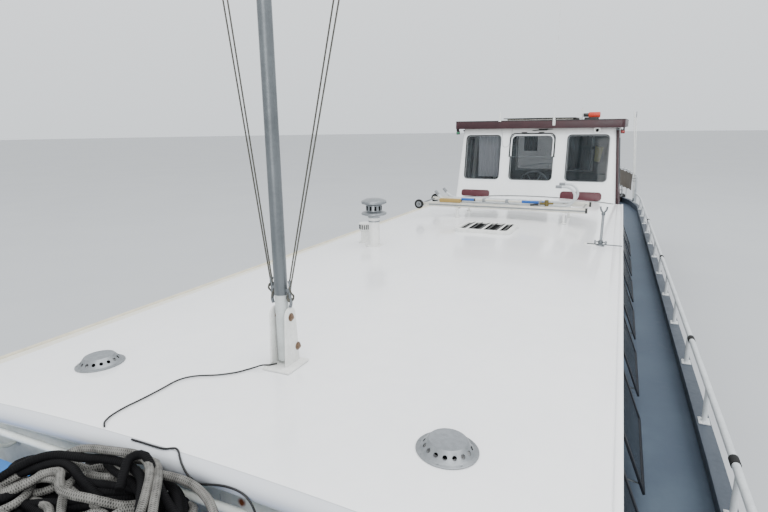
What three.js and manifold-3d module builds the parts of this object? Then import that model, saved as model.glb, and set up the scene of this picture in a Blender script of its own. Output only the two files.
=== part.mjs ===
// River barge: a flat-bottomed steel boat with a long glossy coachroof and a wheelhouse aft.
// Millimetres. +X forward, +Y port, +Z up. The origin is on the flat bottom, amidships.
import * as THREE from 'three';
import { mergeVertices } from 'three/addons/utils/BufferGeometryUtils.js';
import Module from 'manifold-3d';

const wasm = await Module();
wasm.setup();

// Driving dimensions

const seam = 0.3;
const runningGap = 0.7;
const deckPlate = 15;
const clear = 3000;
const aftEnd = -9150;
const foreEnd = 9150;

// Hull sections: x, half widths at the deck edge, the side's knee and the flat bottom, then two heights.
const hullSections = [
  { x: aftEnd, deck: 380, knee: 240, flat: 100, keel: 1230, top: 1850 },
  { x: -9020, deck: 800, knee: 660, flat: 320, keel: 1130, top: 1835 },
  { x: -8600, deck: 1270, knee: 1130, flat: 560, keel: 1050, top: 1810 },
  { x: -8000, deck: 1560, knee: 1430, flat: 700, keel: 1000, top: 1785 },
  { x: -7100, deck: 1735, knee: 1640, flat: 800, keel: 930, top: 1760 },
  { x: -5900, deck: 1785, knee: 1720, flat: 1000, keel: 420, top: 1750 },
  { x: -4700, deck: 1830, knee: 1790, flat: 1350, keel: 0, top: 1750 },
  { x: -2000, deck: 1935, knee: 1905, flat: 1600, keel: 0, top: 1750 },
  { x: 1000, deck: 2050, knee: 2020, flat: 1720, keel: 0, top: 1750 },
  { x: 3500, deck: 2145, knee: 2110, flat: 1800, keel: 0, top: 1750 },
  { x: 4900, deck: 2180, knee: 2130, flat: 1780, keel: 0, top: 1775 },
  { x: 6200, deck: 2120, knee: 2030, flat: 1620, keel: 0, top: 1860 },
  { x: 7300, deck: 1860, knee: 1700, flat: 1200, keel: 0, top: 1975 },
  { x: 8150, deck: 1430, knee: 1200, flat: 680, keel: 60, top: 2075 },
  { x: 8700, deck: 950, knee: 700, flat: 280, keel: 250, top: 2145 },
  { x: 9010, deck: 520, knee: 330, flat: 100, keel: 620, top: 2185 },
  { x: foreEnd, deck: 170, knee: 90, flat: 40, keel: 1100, top: 2205 },
];
const kneeShare = 0.55;
const bilgeSteps = 4;

const hold = { aft: -2500, fore: 5150, half: 1250, floor: 350 };
const engineRoom = { aft: -5000, fore: -2800, half: 1100, floor: 350 };

const roof = { aft: -2640, fore: 5432, edge: 2500, camber: 90, half: 1620, halfAt: 4750, taper: 0.0248,
  skirt: 70, skirtWidth: 110, thick: 45, lip: 15, lipWidth: 30, steps: 10 };
const coamingRadius = 45;
const cabinWall = { inset: 35, thick: 60, fore: 5310, aft: -2560, frontFace: 5360, bulkhead: -2610 };
const companionway = { half: 300, rise: 60 };
const cabinWindows = { count: 7, first: -1900, pitch: 1110, width: 760, height: 400, sill: 1920, radius: 60 };
const hopper = { width: 800, height: 450, thick: 14, top: 2345, swing: 21, railHeight: 30, railDepth: 22 };

const house = { foot: 2550, footX: -2580, rake: 0.1833, half: 1310, tumble: 0.065, thick: 50,
  eaves: 3750, aft: -5180, fore: -2645, sill: 1765.3 };
const frontWindows = [
  { name: 'starboard', y: -870, width: 620 },
  { name: 'middle', y: -40, width: 720 },
  { name: 'port', y: 840, width: 650 },
];
const frontGlass = { low: 2850, high: 3600, radius: 70 };
const sideGlass = { aft: -5000, fore: -4400, low: 2800, high: 3560, radius: 70 };
const backGlass = { half: 750, low: 2850, high: 3560, radius: 80 };
const paneThick = 8;
const doorway = { aft: -3620, fore: -2990, low: 1800, high: 3640 };
const door = { aft: -3655, fore: -2955, low: 1790, high: 3660, thick: 35, gap: 6, travel: 640 };
const doorGlass = { aft: -3545, fore: -3065, low: 2750, high: 3540, radius: 60 };
const doorTrack = { aft: -4330, fore: -2920, depth: 52, height: 24, slack: 0.8 };
const floorPlate = 30;
const houseRoof = { aft: -5340, fore: -2690, half: 1370, low: 3705, high: 3835, board: 25, slab: 62, camber: 30 };

const mastAt = { x: 4630, y: 34, radius: 33, pivotZ: 2846, footZ: 2618, topZ: 8600, yardZ: 7000, yardHalf: 1150 };
const mastCap = { radius: 45, high: 70 };
const yardRadius = 16;
const cleat = { stem: 10, reach: 19, horn: 9, half: 70 };
const cleats = [{ side: -1, z: 2995 }, { side: 1, z: 2980 }];
const cheek = { inner: 39, thick: 10, width: 120, top: 2895, lockZ: 2678, lockBack: 47, pin: 10, lockPin: 8 };
const mastStep = { aft: 50, fore: 105, starboard: 65, port: 92, thick: 12 };
const vents = { flange: 121, top: 46, places: { port: [4978, 1006], starboard: [4954, -906] } };
const flueAt = { x: 1786, y: -820, radius: 55, cowl: 130, top: 3055 };
const shortVentAt = { x: 1609, y: -1015, radius: 45, top: 2765 };
const hatchAt = { x: 610, y: 60, length: 560, width: 640, height: 42, corner: 90 };
const rack = { near: -180, far: -760, starboard: -540, port: 815, top: 2705, leg: 13, foot: 34, beam: 18,
  deep: 22 };
const gangwayAt = { near: -200, far: -800, starboard: -950, port: 1085, low: 2705.3, deep: 60, rail: 42,
  rungs: 8, rungHalf: 16, rungRise: 12, end: 60, lug: 10 };
const gangwayWheel = { radius: 64, width: 34, y: -1075, z: 2730, axle: 10, beside: 22 };
const ladderAt = { near: -330, far: -680, low: 2766.9, tube: 17, starboard: -900, port: 800, hook: 118,
  rungs: 5, firstRung: 260, rungPitch: 310, rung: 12 };
const forkAt = { x: 773, y: 1301, top: 2930, radius: 14, foot: 40, lean: 20, spread: 34, prong: 9, prongFrom: 70 };

const grabRail = { x: 5452, z: 2430, half: 1100, radius: 17, bracket: 11, drop: 110, brackets: 4, share: 0.92,
  bend: 30 };
const locker = { aft: 5520, fore: 6050, starboard: -1200, port: 560, top: 2360 };
const heaps = {
  rope_black: { x: 5755, y: -50, low: 2360.3, high: 2500, halfX: 265, halfY: 490, rounding: 0.3 },
  rope_grey: { x: 5720, y: 15, low: 2500.3, high: 2625, halfX: 235, halfY: 480, rounding: 0.3 },
};
const sideRail = { height: 238, upright: 620, radius: 20, inset: 25, aft: -7500, fore: 6900, pitch: 965,
  postRadius: 16, nose: 260 };
const sternRail = { height: 2560, slope: 0.12, radius: 20, postRadius: 15, feet: [-7640, -8270, -8760, -9070] };
const bulwark = { inner: 70, outer: -15, plateIn: 55, plateOut: 35, cap: 20, height: 140, bowRise: 200 };
const strake = { drop: 18, deep: 105, out: 50 };

const propellerAt = { x: -7430, z: 470, radius: 300, hub: 62, hubHalf: 80, nut: 20, shaft: 30, blades: 4,
  blade: 16, twist: 0.6, turn: 0.3 };
const skeg = { half: 80, aft: -7120, fore: -4300, low: 30, heel: -8330, heelDeep: 80, heelHalf: 55 };
const rudderAt = { x: -8050, fore: -7800, aft: -8620, low: 150, high: 900, half: 28, stock: 38, stockTop: 1400,
  pintle: 25 };
const engineBlock = { aft: -4560, fore: -3260, half: 360, top: 1260 };
const wheelAt = { x: -3200, y: -60, z: 2705, radius: 255, rim: 15, hub: 48, spokes: 6, spoke: 9 };
const consoleAt = { aft: -3090, fore: -2720, half: 900, top: 2690, slope: 130, column: 75, axle: 22 };
const seatAt = { x: -4150, y: 850, top: 2860, seat: [2270, 2370], half: 230, back: 85, post: 40, base: 190 };
const bitt = { radius: 75, height: 330, spread: 380, foreX: 6750, aftX: -7550,
  bar: { radius: 24, over: 125, share: 0.62 }, plate: { long: 130, half: 320, deep: 30 } };
const windlassAt = { x: 7725, high: 240, drum: 130, core: 78, flange: 9, axle: 24, drumHalf: 235, cheekAt: 260,
  cheek: 15, cheekHalf: 120, over: 90, bed: [150, 290, 20], warpEnd: 80, warpFrom: 300, reach: 430 };

// Colours

const paint = (color, roughness, metalness) => new THREE.MeshStandardMaterial({ color, roughness, metalness });
const whiteGloss = paint(0xeceeee, 0.15, 0);
const whiteSatin = paint(0xdfe1df, 0.45, 0);
const deckBlue = paint(0x5c6c7a, 0.7, 0);
const capBlue = paint(0x93a4ad, 0.6, 0);
const hullNavy = paint(0x1f2733, 0.4, 0);
const maroon = paint(0x5a1f2b, 0.4, 0);
const blackRubber = paint(0x17181a, 0.9, 0);
const darkGlass = paint(0x1a1f24, 0.08, 0);
const bareSteel = paint(0x8e9297, 0.35, 1);
const alloy = paint(0xb9bcbf, 0.4, 1);
const bronze = paint(0x9a7436, 0.35, 1);
const engineGreen = paint(0x37503f, 0.6, 0);
const ropeBlack = paint(0x1b1c1f, 0.95, 0);
const ropeGrey = paint(0x8f8e88, 0.95, 0);
const vinylGrey = paint(0x3c3d40, 0.8, 0);
const lockerBlue = paint(0x2f6fae, 0.5, 0);

const barge = new THREE.Group();

// Helpers

function solidOf(geometry) {
  const bare = geometry.clone();
  bare.deleteAttribute('normal');
  bare.deleteAttribute('uv');
  const merged = mergeVertices(bare, 1e-3);
  const triVerts = new Uint32Array(merged.index.array);
  const vertProperties = merged.attributes.position.array;
  return new wasm.Manifold(new wasm.Mesh({ numProp: 3, vertProperties, triVerts }));
}

function geometryOf(solid) {
  const mesh = solid.getMesh();
  const geometry = new THREE.BufferGeometry();
  geometry.setAttribute('position', new THREE.BufferAttribute(mesh.vertProperties, 3));
  geometry.setIndex(new THREE.BufferAttribute(mesh.triVerts, 1));
  return geometry;
}

function joined(geometries) {
  return geometryOf(geometries.map(solidOf).reduce((whole, next) => whole.add(next)));
}

function cutBy(geometry, cutters) {
  return geometryOf(cutters.map(solidOf).reduce((whole, next) => whole.subtract(next), solidOf(geometry)));
}

// The same shape on the boat's other side.
function flipped(geometry) {
  const other = (geometry.index ? geometry.toNonIndexed() : geometry.clone()).applyMatrix4(
    new THREE.Matrix4().makeScale(1, -1, 1));
  const places = other.attributes.position;
  for (let i = 0; i < places.count; i += 3) {
    const [b, c] = [1, 2].map((k) => new THREE.Vector3().fromBufferAttribute(places, i + k));
    places.setXYZ(i + 1, ...c);
    places.setXYZ(i + 2, ...b);
  }
  return other;
}

function addPiece(name, geometry, material, mirrored = false) {
  const mesh = new THREE.Mesh(geometry, material);
  mesh.name = name;
  if (mirrored) mesh.scale.y = -1;
  barge.add(mesh);
  return mesh;
}

function block(x0, x1, y0, y1, z0, z1) {
  const geometry = new THREE.BoxGeometry(x1 - x0, y1 - y0, z1 - z0);
  return geometry.translate((x0 + x1) / 2, (y0 + y1) / 2, (z0 + z1) / 2);
}

// A round bar from a to b.
function bar(a, b, radius, sides = 12, radiusB = radius) {
  const from = new THREE.Vector3(...a);
  const to = new THREE.Vector3(...b);
  const along = to.clone().sub(from);
  const geometry = new THREE.CylinderGeometry(radiusB, radius, along.length(), sides);
  geometry.applyQuaternion(new THREE.Quaternion().setFromUnitVectors(
    new THREE.Vector3(0, 1, 0), along.clone().normalize()));
  const middle = from.add(to).multiplyScalar(0.5);
  return geometry.translate(middle.x, middle.y, middle.z);
}

function circle(radius, sides) {
  const shape = new THREE.Shape();
  for (let i = 0; i < sides; i++) {
    const turn = 2 * Math.PI * i / sides;
    const point = [radius * Math.cos(turn), radius * Math.sin(turn)];
    if (i) shape.lineTo(...point);
    else shape.moveTo(...point);
  }
  return shape;
}

// A round tube along points, smooth or with straight runs.
function tube(points, radius, steps, sides = 8, smooth = true) {
  const places = points.map((p) => new THREE.Vector3(...p));
  const path = smooth ? new THREE.CatmullRomCurve3(places, false, 'centripetal') : new THREE.CurvePath();
  if (!smooth) places.slice(1).forEach((p, i) => path.add(new THREE.LineCurve3(places[i], p)));
  return new THREE.ExtrudeGeometry(circle(radius, sides), { steps, extrudePath: path, bevelEnabled: false });
}

// A closed skin over rings of points, each ring with the same count, with flat ends.
function skin(rings) {
  const count = rings[0].length;
  const positions = rings.flat(2);
  const index = [];
  for (let i = 0; i + 1 < rings.length; i++) {
    for (let j = 0; j < count; j++) {
      const a = i * count + j;
      const b = i * count + (j + 1) % count;
      index.push(a, b, b + count, a, b + count, a + count);
    }
  }
  const capOf = (ring, base, flip) => {
    const [p0, p1] = [new THREE.Vector3(...ring[0]), new THREE.Vector3(...ring[1])];
    const normal = new THREE.Vector3();
    ring.forEach((p, i) => {
      const q = ring[(i + 1) % count];
      normal.add(new THREE.Vector3(...p).cross(new THREE.Vector3(...q)));
    });
    normal.normalize();
    const across = p1.sub(p0).projectOnPlane(normal).normalize();
    const up = normal.clone().cross(across);
    const flat = ring.map((p) => {
      const v = new THREE.Vector3(...p).sub(p0);
      return new THREE.Vector2(v.dot(across), v.dot(up));
    });
    for (const [a, b, c] of THREE.ShapeUtils.triangulateShape(flat, [])) {
      if (flip) index.push(base + c, base + b, base + a);
      else index.push(base + a, base + b, base + c);
    }
  };
  capOf(rings[0], 0, true);
  capOf(rings.at(-1), (rings.length - 1) * count, false);
  const geometry = new THREE.BufferGeometry();
  geometry.setAttribute('position', new THREE.Float32BufferAttribute(positions, 3));
  geometry.setIndex(index);
  const made = geometry.toNonIndexed();
  if (volumeOf(made) < 0) {
    for (let i = 0; i < index.length; i += 3) [index[i], index[i + 1]] = [index[i + 1], index[i]];
    geometry.setIndex(index);
  }
  return geometry;
}

function volumeOf(geometry) {
  const p = geometry.attributes.position;
  const [a, b, c] = [new THREE.Vector3(), new THREE.Vector3(), new THREE.Vector3()];
  let sum = 0;
  for (let i = 0; i < p.count; i += 3) {
    a.fromBufferAttribute(p, i);
    b.fromBufferAttribute(p, i + 1);
    c.fromBufferAttribute(p, i + 2);
    sum += a.dot(b.cross(c));
  }
  return sum;
}

function roundedOutline(Type, u0, u1, v0, v1, radius) {
  const outline = new Type();
  outline.moveTo(u0 + radius, v0);
  outline.lineTo(u1 - radius, v0);
  outline.absarc(u1 - radius, v0 + radius, radius, -Math.PI / 2, 0);
  outline.lineTo(u1, v1 - radius);
  outline.absarc(u1 - radius, v1 - radius, radius, 0, Math.PI / 2);
  outline.lineTo(u0 + radius, v1);
  outline.absarc(u0 + radius, v1 - radius, radius, Math.PI / 2, Math.PI);
  outline.lineTo(u0, v0 + radius);
  outline.absarc(u0 + radius, v0 + radius, radius, Math.PI, 1.5 * Math.PI);
  return outline;
}

// A panel: an outline in a plane's own u and v, as deep as given along the plane's normal from start.
function panel(plane, shape, start, deep) {
  const geometry = new THREE.ExtrudeGeometry(shape, { depth: deep, bevelEnabled: false, curveSegments: 3 });
  return geometry.translate(0, 0, start).applyMatrix4(plane);
}

function planeAt(origin, u, v) {
  const across = new THREE.Vector3(...u).normalize();
  const up = new THREE.Vector3(...v).normalize();
  const out = across.clone().cross(up);
  return new THREE.Matrix4().makeBasis(across, up, out).setPosition(...origin);
}

const between = (x, key) => {
  const i = Math.min(Math.max(hullSections.findIndex((s) => s.x >= x), 1), hullSections.length - 1);
  const [a, b] = [hullSections[i - 1], hullSections[i]];
  return a[key] + (b[key] - a[key]) * (x - a.x) / (b.x - a.x);
};
const deckTop = (x) => between(x, 'top') + seam + deckPlate;
const roofHalf = (x) => roof.half + roof.taper * (x - roof.halfAt);
const roofTop = (x, y) => roof.edge + roof.camber * (1 - (y / roofHalf(x)) ** 2);

// Hull, with the hold and the engine room open upwards, and the skeg with its sole piece

function hullRing({ x, deck, knee, flat, keel, top }) {
  const kneeZ = keel + kneeShare * (top - keel);
  const half = [[deck, top], [knee, kneeZ]];
  for (let i = 1; i <= bilgeSteps; i++) {
    const turn = Math.PI / 2 * i / bilgeSteps;
    half.push([flat + (knee - flat) * Math.cos(turn), kneeZ + (keel - kneeZ) * Math.sin(turn)]);
  }
  const port = half.map(([y, z]) => [x, y, z]);
  const starboard = half.map(([y, z]) => [x, -y, z]).reverse();
  return [...port, ...starboard];
}

const pits = () => [hold, engineRoom].map((p) => block(p.aft, p.fore, -p.half, p.half, p.floor, clear));

function skegShape() {
  const outline = new THREE.Shape([[skeg.aft, 960], [skeg.aft, skeg.low], [skeg.fore, skeg.low], [skeg.fore, 200]]
    .map((p) => new THREE.Vector2(...p)));
  const side = planeAt([0, skeg.half, 0], [1, 0, 0], [0, 0, 1]);
  const sole = block(skeg.heel, skeg.aft + 40, -skeg.heelHalf, skeg.heelHalf, skeg.low, skeg.low + skeg.heelDeep);
  return [panel(side, outline, 0, 2 * skeg.half), sole];
}

const hullShell = joined([skin(hullSections.map(hullRing)), ...skegShape()]);
const sternBore = bar([skeg.aft - 50, 0, propellerAt.z], [skeg.aft + 420, 0, propellerAt.z],
  propellerAt.shaft + runningGap, 24);
const rudderBore = bar([rudderAt.x, 0, rudderAt.high], [rudderAt.x, 0, rudderAt.stockTop + 30],
  rudderAt.stock + runningGap, 24);
const heelBore = bar([rudderAt.x, 0, skeg.low + 30], [rudderAt.x, 0, skeg.low + skeg.heelDeep + 5],
  rudderAt.pintle + runningGap, 24);
// The hull is welded from three sections: the bow, the open middle and the stern.
const sectionOf = (geometry, aft, fore) => geometryOf(solidOf(geometry).intersect(solidOf(
  block(aft, fore, -clear, clear, -100, clear))));
addPiece('hull_bow', sectionOf(hullShell, hold.fore + seam, foreEnd + 100), hullNavy);
addPiece('hull_middle', cutBy(sectionOf(hullShell, hold.aft, hold.fore),
  [block(hold.aft - 50, hold.fore + 50, -hold.half, hold.half, hold.floor, clear)]), hullNavy);
addPiece('hull_stern', cutBy(sectionOf(hullShell, aftEnd - 100, hold.aft - seam),
  [pits()[1], sternBore, rudderBore, heelBore]), hullNavy);

// Deck plate all round, cut out over the hold and the engine room

const deckRing = ({ x, deck, top }) => [
  [x, deck - 2, top + seam], [x, deck - 2, top + seam + deckPlate],
  [x, 2 - deck, top + seam + deckPlate], [x, 2 - deck, top + seam],
];
addPiece('deck', cutBy(skin(hullSections.map(deckRing)), pits()), deckBlue);

// The sheer line of the port side, from the stern's middle to the stem's, with the inward direction at each point

const sheerLine = (() => {
  const first = { ...hullSections[0], deck: 0.2, middle: true };
  const last = { ...hullSections.at(-1), deck: 0.2, middle: true };
  const marks = [first, ...hullSections, last];
  return marks.map((mark, i) => {
    const before = marks[Math.max(i - 1, 0)];
    const after = marks[Math.min(i + 1, marks.length - 1)];
    const a = new THREE.Vector2(mark.x - before.x, mark.deck - before.deck).normalize();
    const b = new THREE.Vector2(after.x - mark.x, after.deck - mark.deck).normalize();
    const run = a.clone().add(b).normalize();
    const inward = new THREE.Vector2(run.y, -run.x);
    const edge = a.length() ? a : b;
    const miter = 1 / Math.max(inward.dot(new THREE.Vector2(edge.y, -edge.x)), 0.7);
    inward.multiplyScalar(miter);
    return { ...mark, inward: mark.middle ? new THREE.Vector2(-Math.sign(mark.x), 0) : inward };
  });
})();
const fromSheer = (mark, inset, z, drop = 0) => {
  const lean = mark.middle ? 0 : (mark.deck - mark.knee) * drop / ((1 - kneeShare) * (mark.top - mark.keel));
  return [mark.x + mark.inward.x * inset, Math.max(mark.deck + mark.inward.y * inset - lean, 0.15), z];
};

const capHeight = (mark) => {
  const rise = Math.max(mark.x - 4900, 0) / (foreEnd - 4900);
  return mark.top + bulwark.height + bulwark.bowRise * rise;
};
const bulwarkRing = (mark) => {
  const foot = mark.top + 2 * seam + deckPlate;
  const high = capHeight(mark);
  const low = high - bulwark.cap;
  return [[bulwark.plateIn, foot], [bulwark.plateOut, foot], [bulwark.plateOut, low], [bulwark.outer, low],
    [bulwark.outer, high], [bulwark.inner, high], [bulwark.inner, low], [bulwark.plateIn, low]]
    .map(([inset, z]) => fromSheer(mark, inset, z));
};
const strakeRing = (mark) => {
  const { drop, deep, out } = strake;
  return [[12, drop], [-out * 0.7, drop + 8], [-out, drop + 30], [-out, drop + deep - 30],
    [-out * 0.7, drop + deep - 8], [12, drop + deep]]
    .map(([inset, down]) => fromSheer(mark, inset, mark.top - down, down));
};
const hullClear = skin(hullSections.map((row) => hullRing({ ...row, x: row.x + Math.sign(row.x) * seam,
  deck: row.deck + 2 * seam, knee: row.knee + 2 * seam, top: row.top + seam })));
const strakeHalf = (side) => skin(sheerLine.map((mark) => strakeRing(mark)
  .map(([x, y, z]) => [x, side * (mark.middle ? -2 : y), z])));
addPiece('rub_strake', cutBy(joined([strakeHalf(1), strakeHalf(-1)]), [hullClear]), blackRubber);
const bulwarkHalf = (side) => skin(sheerLine.map((mark) => bulwarkRing(mark)
  .map(([x, y, z]) => [x, side * (mark.middle ? -2 : y), z])));
addPiece('bulwark', joined([bulwarkHalf(1), bulwarkHalf(-1)]), capBlue);

// Rails on stanchions along the side decks, and the raised rail round the stern

const sheerPoint = (x, inset) => {
  const i = Math.max(sheerLine.findIndex((m, k) => k > 1 && m.x >= x), 2);
  const [a, b] = [sheerLine[i - 1], sheerLine[i]];
  const share = (x - a.x) / (b.x - a.x);
  const run = new THREE.Vector2(b.x - a.x, b.deck - a.deck).normalize();
  const y = a.deck + (b.deck - a.deck) * share;
  return [x + run.y * inset, y - run.x * inset, capHeight(a) + (capHeight(b) - capHeight(a)) * share];
};
const capClear = skin(sheerLine.map((mark) => bulwarkRing(mark).map(([x, y, z], i) => [x, y, i === 4 || i === 5
  ? z + seam : z - 4])));
function sideRailShape() {
  const marks = [];
  for (let x = sideRail.fore; x > sideRail.aft + 300; x -= sideRail.pitch) marks.push(x);
  const above = (x, rise) => {
    const [px, y, z] = sheerPoint(x, sideRail.inset);
    return [px, y, z + rise];
  };
  const posts = marks.map((x) => bar(above(x, -15), above(x, sideRail.height), sideRail.postRadius, 6));
  const upright = bar(above(sideRail.aft, -15), above(sideRail.aft, sideRail.upright), sideRail.radius, 8);
  const nose = above(sideRail.fore + sideRail.nose, 10);
  const over = [...marks, sideRail.aft].map((x) => above(x, sideRail.height));
  const run = tube([nose, ...over], sideRail.radius, 24, 6);
  return cutBy(joined([run, ...posts, upright]), [capClear]);
}
const sideRailGeometry = sideRailShape();
addPiece('rail_port', sideRailGeometry, whiteSatin);
addPiece('rail_starboard', sideRailGeometry.clone(), whiteSatin, true);

function sternRailShape() {
  const port = sternRail.feet.map((x) => {
    const [px, y, z] = sheerPoint(x, sideRail.inset);
    return [px, y, z, sternRail.height + (sternRail.feet[0] - x) * sternRail.slope];
  });
  const posts = port.map(([x, y, z, top]) => bar([x, y, z - 15], [x, y, top], sternRail.postRadius, 6));
  const half = port.map(([x, y, , top]) => [x, y, top]);
  const over = half.map(([x, y, z]) => [x, -y, z]).reverse();
  const portPosts = posts.map((post) => cutBy(post, [capClear]));
  const otherPosts = portPosts.map((post) => flipped(post));
  return joined([tube([...half, ...over], sternRail.radius, 28, 6), ...portPosts, ...otherPosts]);
}
addPiece('stern_rail', sternRailShape(), whiteSatin);

// Cabin walls, their windows and the hinged panes

const wallLean = [1, roof.taper, 0];
const cabinPlane = planeAt([0, roofHalf(0) - cabinWall.inset, 0], wallLean, [0, 0, 1]);
const windowCentres = Array.from({ length: cabinWindows.count },
  (_, i) => cabinWindows.first + i * cabinWindows.pitch);
function cabinSideShape() {
  const low = (x) => deckTop(x) + 2 * seam;
  const high = roof.edge - roof.skirt - seam;
  const feet = [cabinWall.aft, 3500, 4900, cabinWall.fore - seam].map((x) => [x, low(x)]);
  const outline = new THREE.Shape([...feet, [cabinWall.fore - seam, high], [cabinWall.aft, high]]
    .map((p) => new THREE.Vector2(...p)));
  for (const x of windowCentres) {
    outline.holes.push(roundedOutline(THREE.Path, x - cabinWindows.width / 2, x + cabinWindows.width / 2,
      cabinWindows.sill, cabinWindows.sill + cabinWindows.height, cabinWindows.radius));
  }
  const wall = new THREE.ExtrudeGeometry(outline, { depth: cabinWall.thick, bevelEnabled: false, curveSegments: 2 });
  return wall.applyMatrix4(cabinPlane);
}
function hopperShape() {
  const rail = { aft: cabinWall.aft + 200, fore: cabinWall.fore - 60 };
  const headBar = new THREE.Shape([[rail.aft, hopper.top - 5], [rail.fore, hopper.top - 5],
    [rail.fore, hopper.top + hopper.railHeight], [rail.aft, hopper.top + hopper.railHeight]]
    .map((p) => new THREE.Vector2(...p)));
  const pieces = [panel(cabinPlane, headBar, -hopper.railDepth - seam, hopper.railDepth)];
  const swing = THREE.MathUtils.degToRad(hopper.swing);
  for (const x of windowCentres) {
    const leaf = new THREE.Shape([[x - hopper.width / 2, -hopper.height], [x + hopper.width / 2, -hopper.height],
      [x + hopper.width / 2, 6], [x - hopper.width / 2, 6]].map((p) => new THREE.Vector2(...p)));
    const turned = new THREE.Matrix4().makeTranslation(0, hopper.top, -hopper.railDepth)
      .multiply(new THREE.Matrix4().makeRotationX(swing));
    pieces.push(panel(cabinPlane.clone().multiply(turned), leaf, -2, hopper.thick));
  }
  return joined(pieces);
}
const cabinSide = cabinSideShape();
const hoppers = hopperShape();
for (const [side, mirrored] of [['port', false], ['starboard', true]]) {
  addPiece(`cabin_side_${side}`, cabinSide.clone(), whiteSatin, mirrored);
  addPiece(`cabin_windows_${side}`, hoppers.clone(), darkGlass, mirrored);
}
// A wall across the boat, with its top close under the roof's camber and its skirt.
function crossWall(aft, fore) {
  const half = roofHalf(fore) - cabinWall.inset - 4;
  const foot = deckTop(fore) + 2 * seam;
  const skirtLow = roof.edge - roof.skirt - seam;
  const inside = roofHalf(fore) - roof.skirtWidth - 4;
  const outline = [[-half, foot], [half, foot], [half, skirtLow], [inside, skirtLow]];
  for (let i = 0; i <= roof.steps; i++) {
    const y = inside * (1 - 2 * i / roof.steps);
    outline.push([y, roofTop(aft, y) - roof.thick - 3]);
  }
  outline.push([-inside, skirtLow], [-half, skirtLow]);
  const shape = new THREE.Shape(outline.map((p) => new THREE.Vector2(...p)));
  return panel(planeAt([aft, 0, 0], [0, 1, 0], [0, 0, 1]), shape, 0, fore - aft);
}

// Coachroof: a cambered shell with a skirt and a raised lip along each side, and a round coaming in front

function roofRing(x) {
  const half = roofHalf(x);
  const arc = [];
  const inside = half - roof.lipWidth;
  for (let i = 0; i <= roof.steps; i++) {
    const y = inside * (1 - 2 * i / roof.steps);
    arc.push([x, y, roofTop(x, y)]);
  }
  const under = [];
  const skirtIn = half - roof.skirtWidth;
  for (let i = 0; i <= roof.steps; i++) {
    const y = -skirtIn * (1 - 2 * i / roof.steps);
    under.push([x, y, roofTop(x, y) - roof.thick]);
  }
  const low = roof.edge - roof.skirt;
  const lipTop = roof.edge + roof.lip;
  return [[x, half, low], [x, half, lipTop - 6], [x, half - 8, lipTop], [x, half - roof.lipWidth + 6, lipTop], ...arc,
    [x, -half + roof.lipWidth - 6, lipTop], [x, -half + 8, lipTop], [x, -half, lipTop - 6], [x, -half, low],
    [x, -skirtIn, low], ...under, [x, skirtIn, low]];
}
function coachroofShape() {
  const shell = skin([roof.aft, roof.fore].map(roofRing));
  const half = roofHalf(roof.fore) - coamingRadius * 0.3;
  const nose = [];
  for (let i = 0; i <= 8; i++) {
    const y = half * (1 - i / 4);
    nose.push([roof.fore - 2, y, roofTop(roof.fore, y) - coamingRadius - 1]);
  }
  return joined([shell, tube(nose, coamingRadius, 8, 12)]);
}
addPiece('coachroof', coachroofShape(), whiteGloss);

// The space under the roof's surface: what stands on the roof is cut by it, and so follows the camber.
const roofClear = skin([roof.aft, roof.fore].map((x) => {
  const over = [];
  for (let i = 0; i <= roof.steps; i++) {
    const y = (roofHalf(x) - roof.lipWidth) * (1 - 2 * i / roof.steps);
    over.push([x, y, roofTop(x, y) + seam]);
  }
  return [[x, over[0][1], roof.edge - 300], ...over, [x, over.at(-1)[1], roof.edge - 300]];
}));
const onRoof = (geometry) => cutBy(geometry, [roofClear]);

// The cabin's front wall carries a grab rail on four brackets; the bulkhead has the way down from the wheelhouse

function grabRailShape() {
  const { x, z, half, radius, bracket, drop, brackets, share, bend } = grabRail;
  const pieces = [bar([x, -half, z], [x, half, z], radius, 12)];
  for (let i = 0; i < brackets; i++) {
    const y = half * share * (1 - 2 * i / (brackets - 1));
    pieces.push(tube([[x, y, z], [x, y, z - drop * 0.6], [x - bend, y, z - drop],
      [cabinWall.frontFace - 15, y, z - drop]], bracket, 6, 6));
  }
  return joined(pieces);
}
addPiece('cabin_front', joined([crossWall(cabinWall.fore, cabinWall.frontFace), grabRailShape()]), whiteSatin);
{
  const way = block(cabinWall.bulkhead - 100, cabinWall.aft + 100, -companionway.half, companionway.half,
    deckTop(cabinWall.bulkhead) + companionway.rise, roof.edge - roof.skirt - companionway.rise);
  addPiece('cabin_bulkhead', cutBy(crossWall(cabinWall.bulkhead, cabinWall.aft - seam), [way]), whiteSatin);
}

// Wheelhouse walls, glass, doors and roof

const sideY = (z) => house.half - house.tumble * (z - house.foot);
const frontX = (z) => house.footX - house.rake * (z - house.foot);
const sideUp = Math.hypot(1, house.tumble);
const frontUp = Math.hypot(1, house.rake);
const sidePlane = planeAt([0, sideY(0), 0], [1, 0, 0], [0, -house.tumble, 1]);
const frontPlane = planeAt([frontX(0), 0, 0], [0, -1, 0], [-house.rake, 0, 1]);
const backPlane = planeAt([house.aft, 0, 0], [0, 1, 0], [0, 0, 1]);
const glassOutline = (Type, u0, u1, z0, z1, radius, up, less = 0) =>
  roundedOutline(Type, u0 + less, u1 - less, z0 * up + less, z1 * up - less, radius - less);

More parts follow.
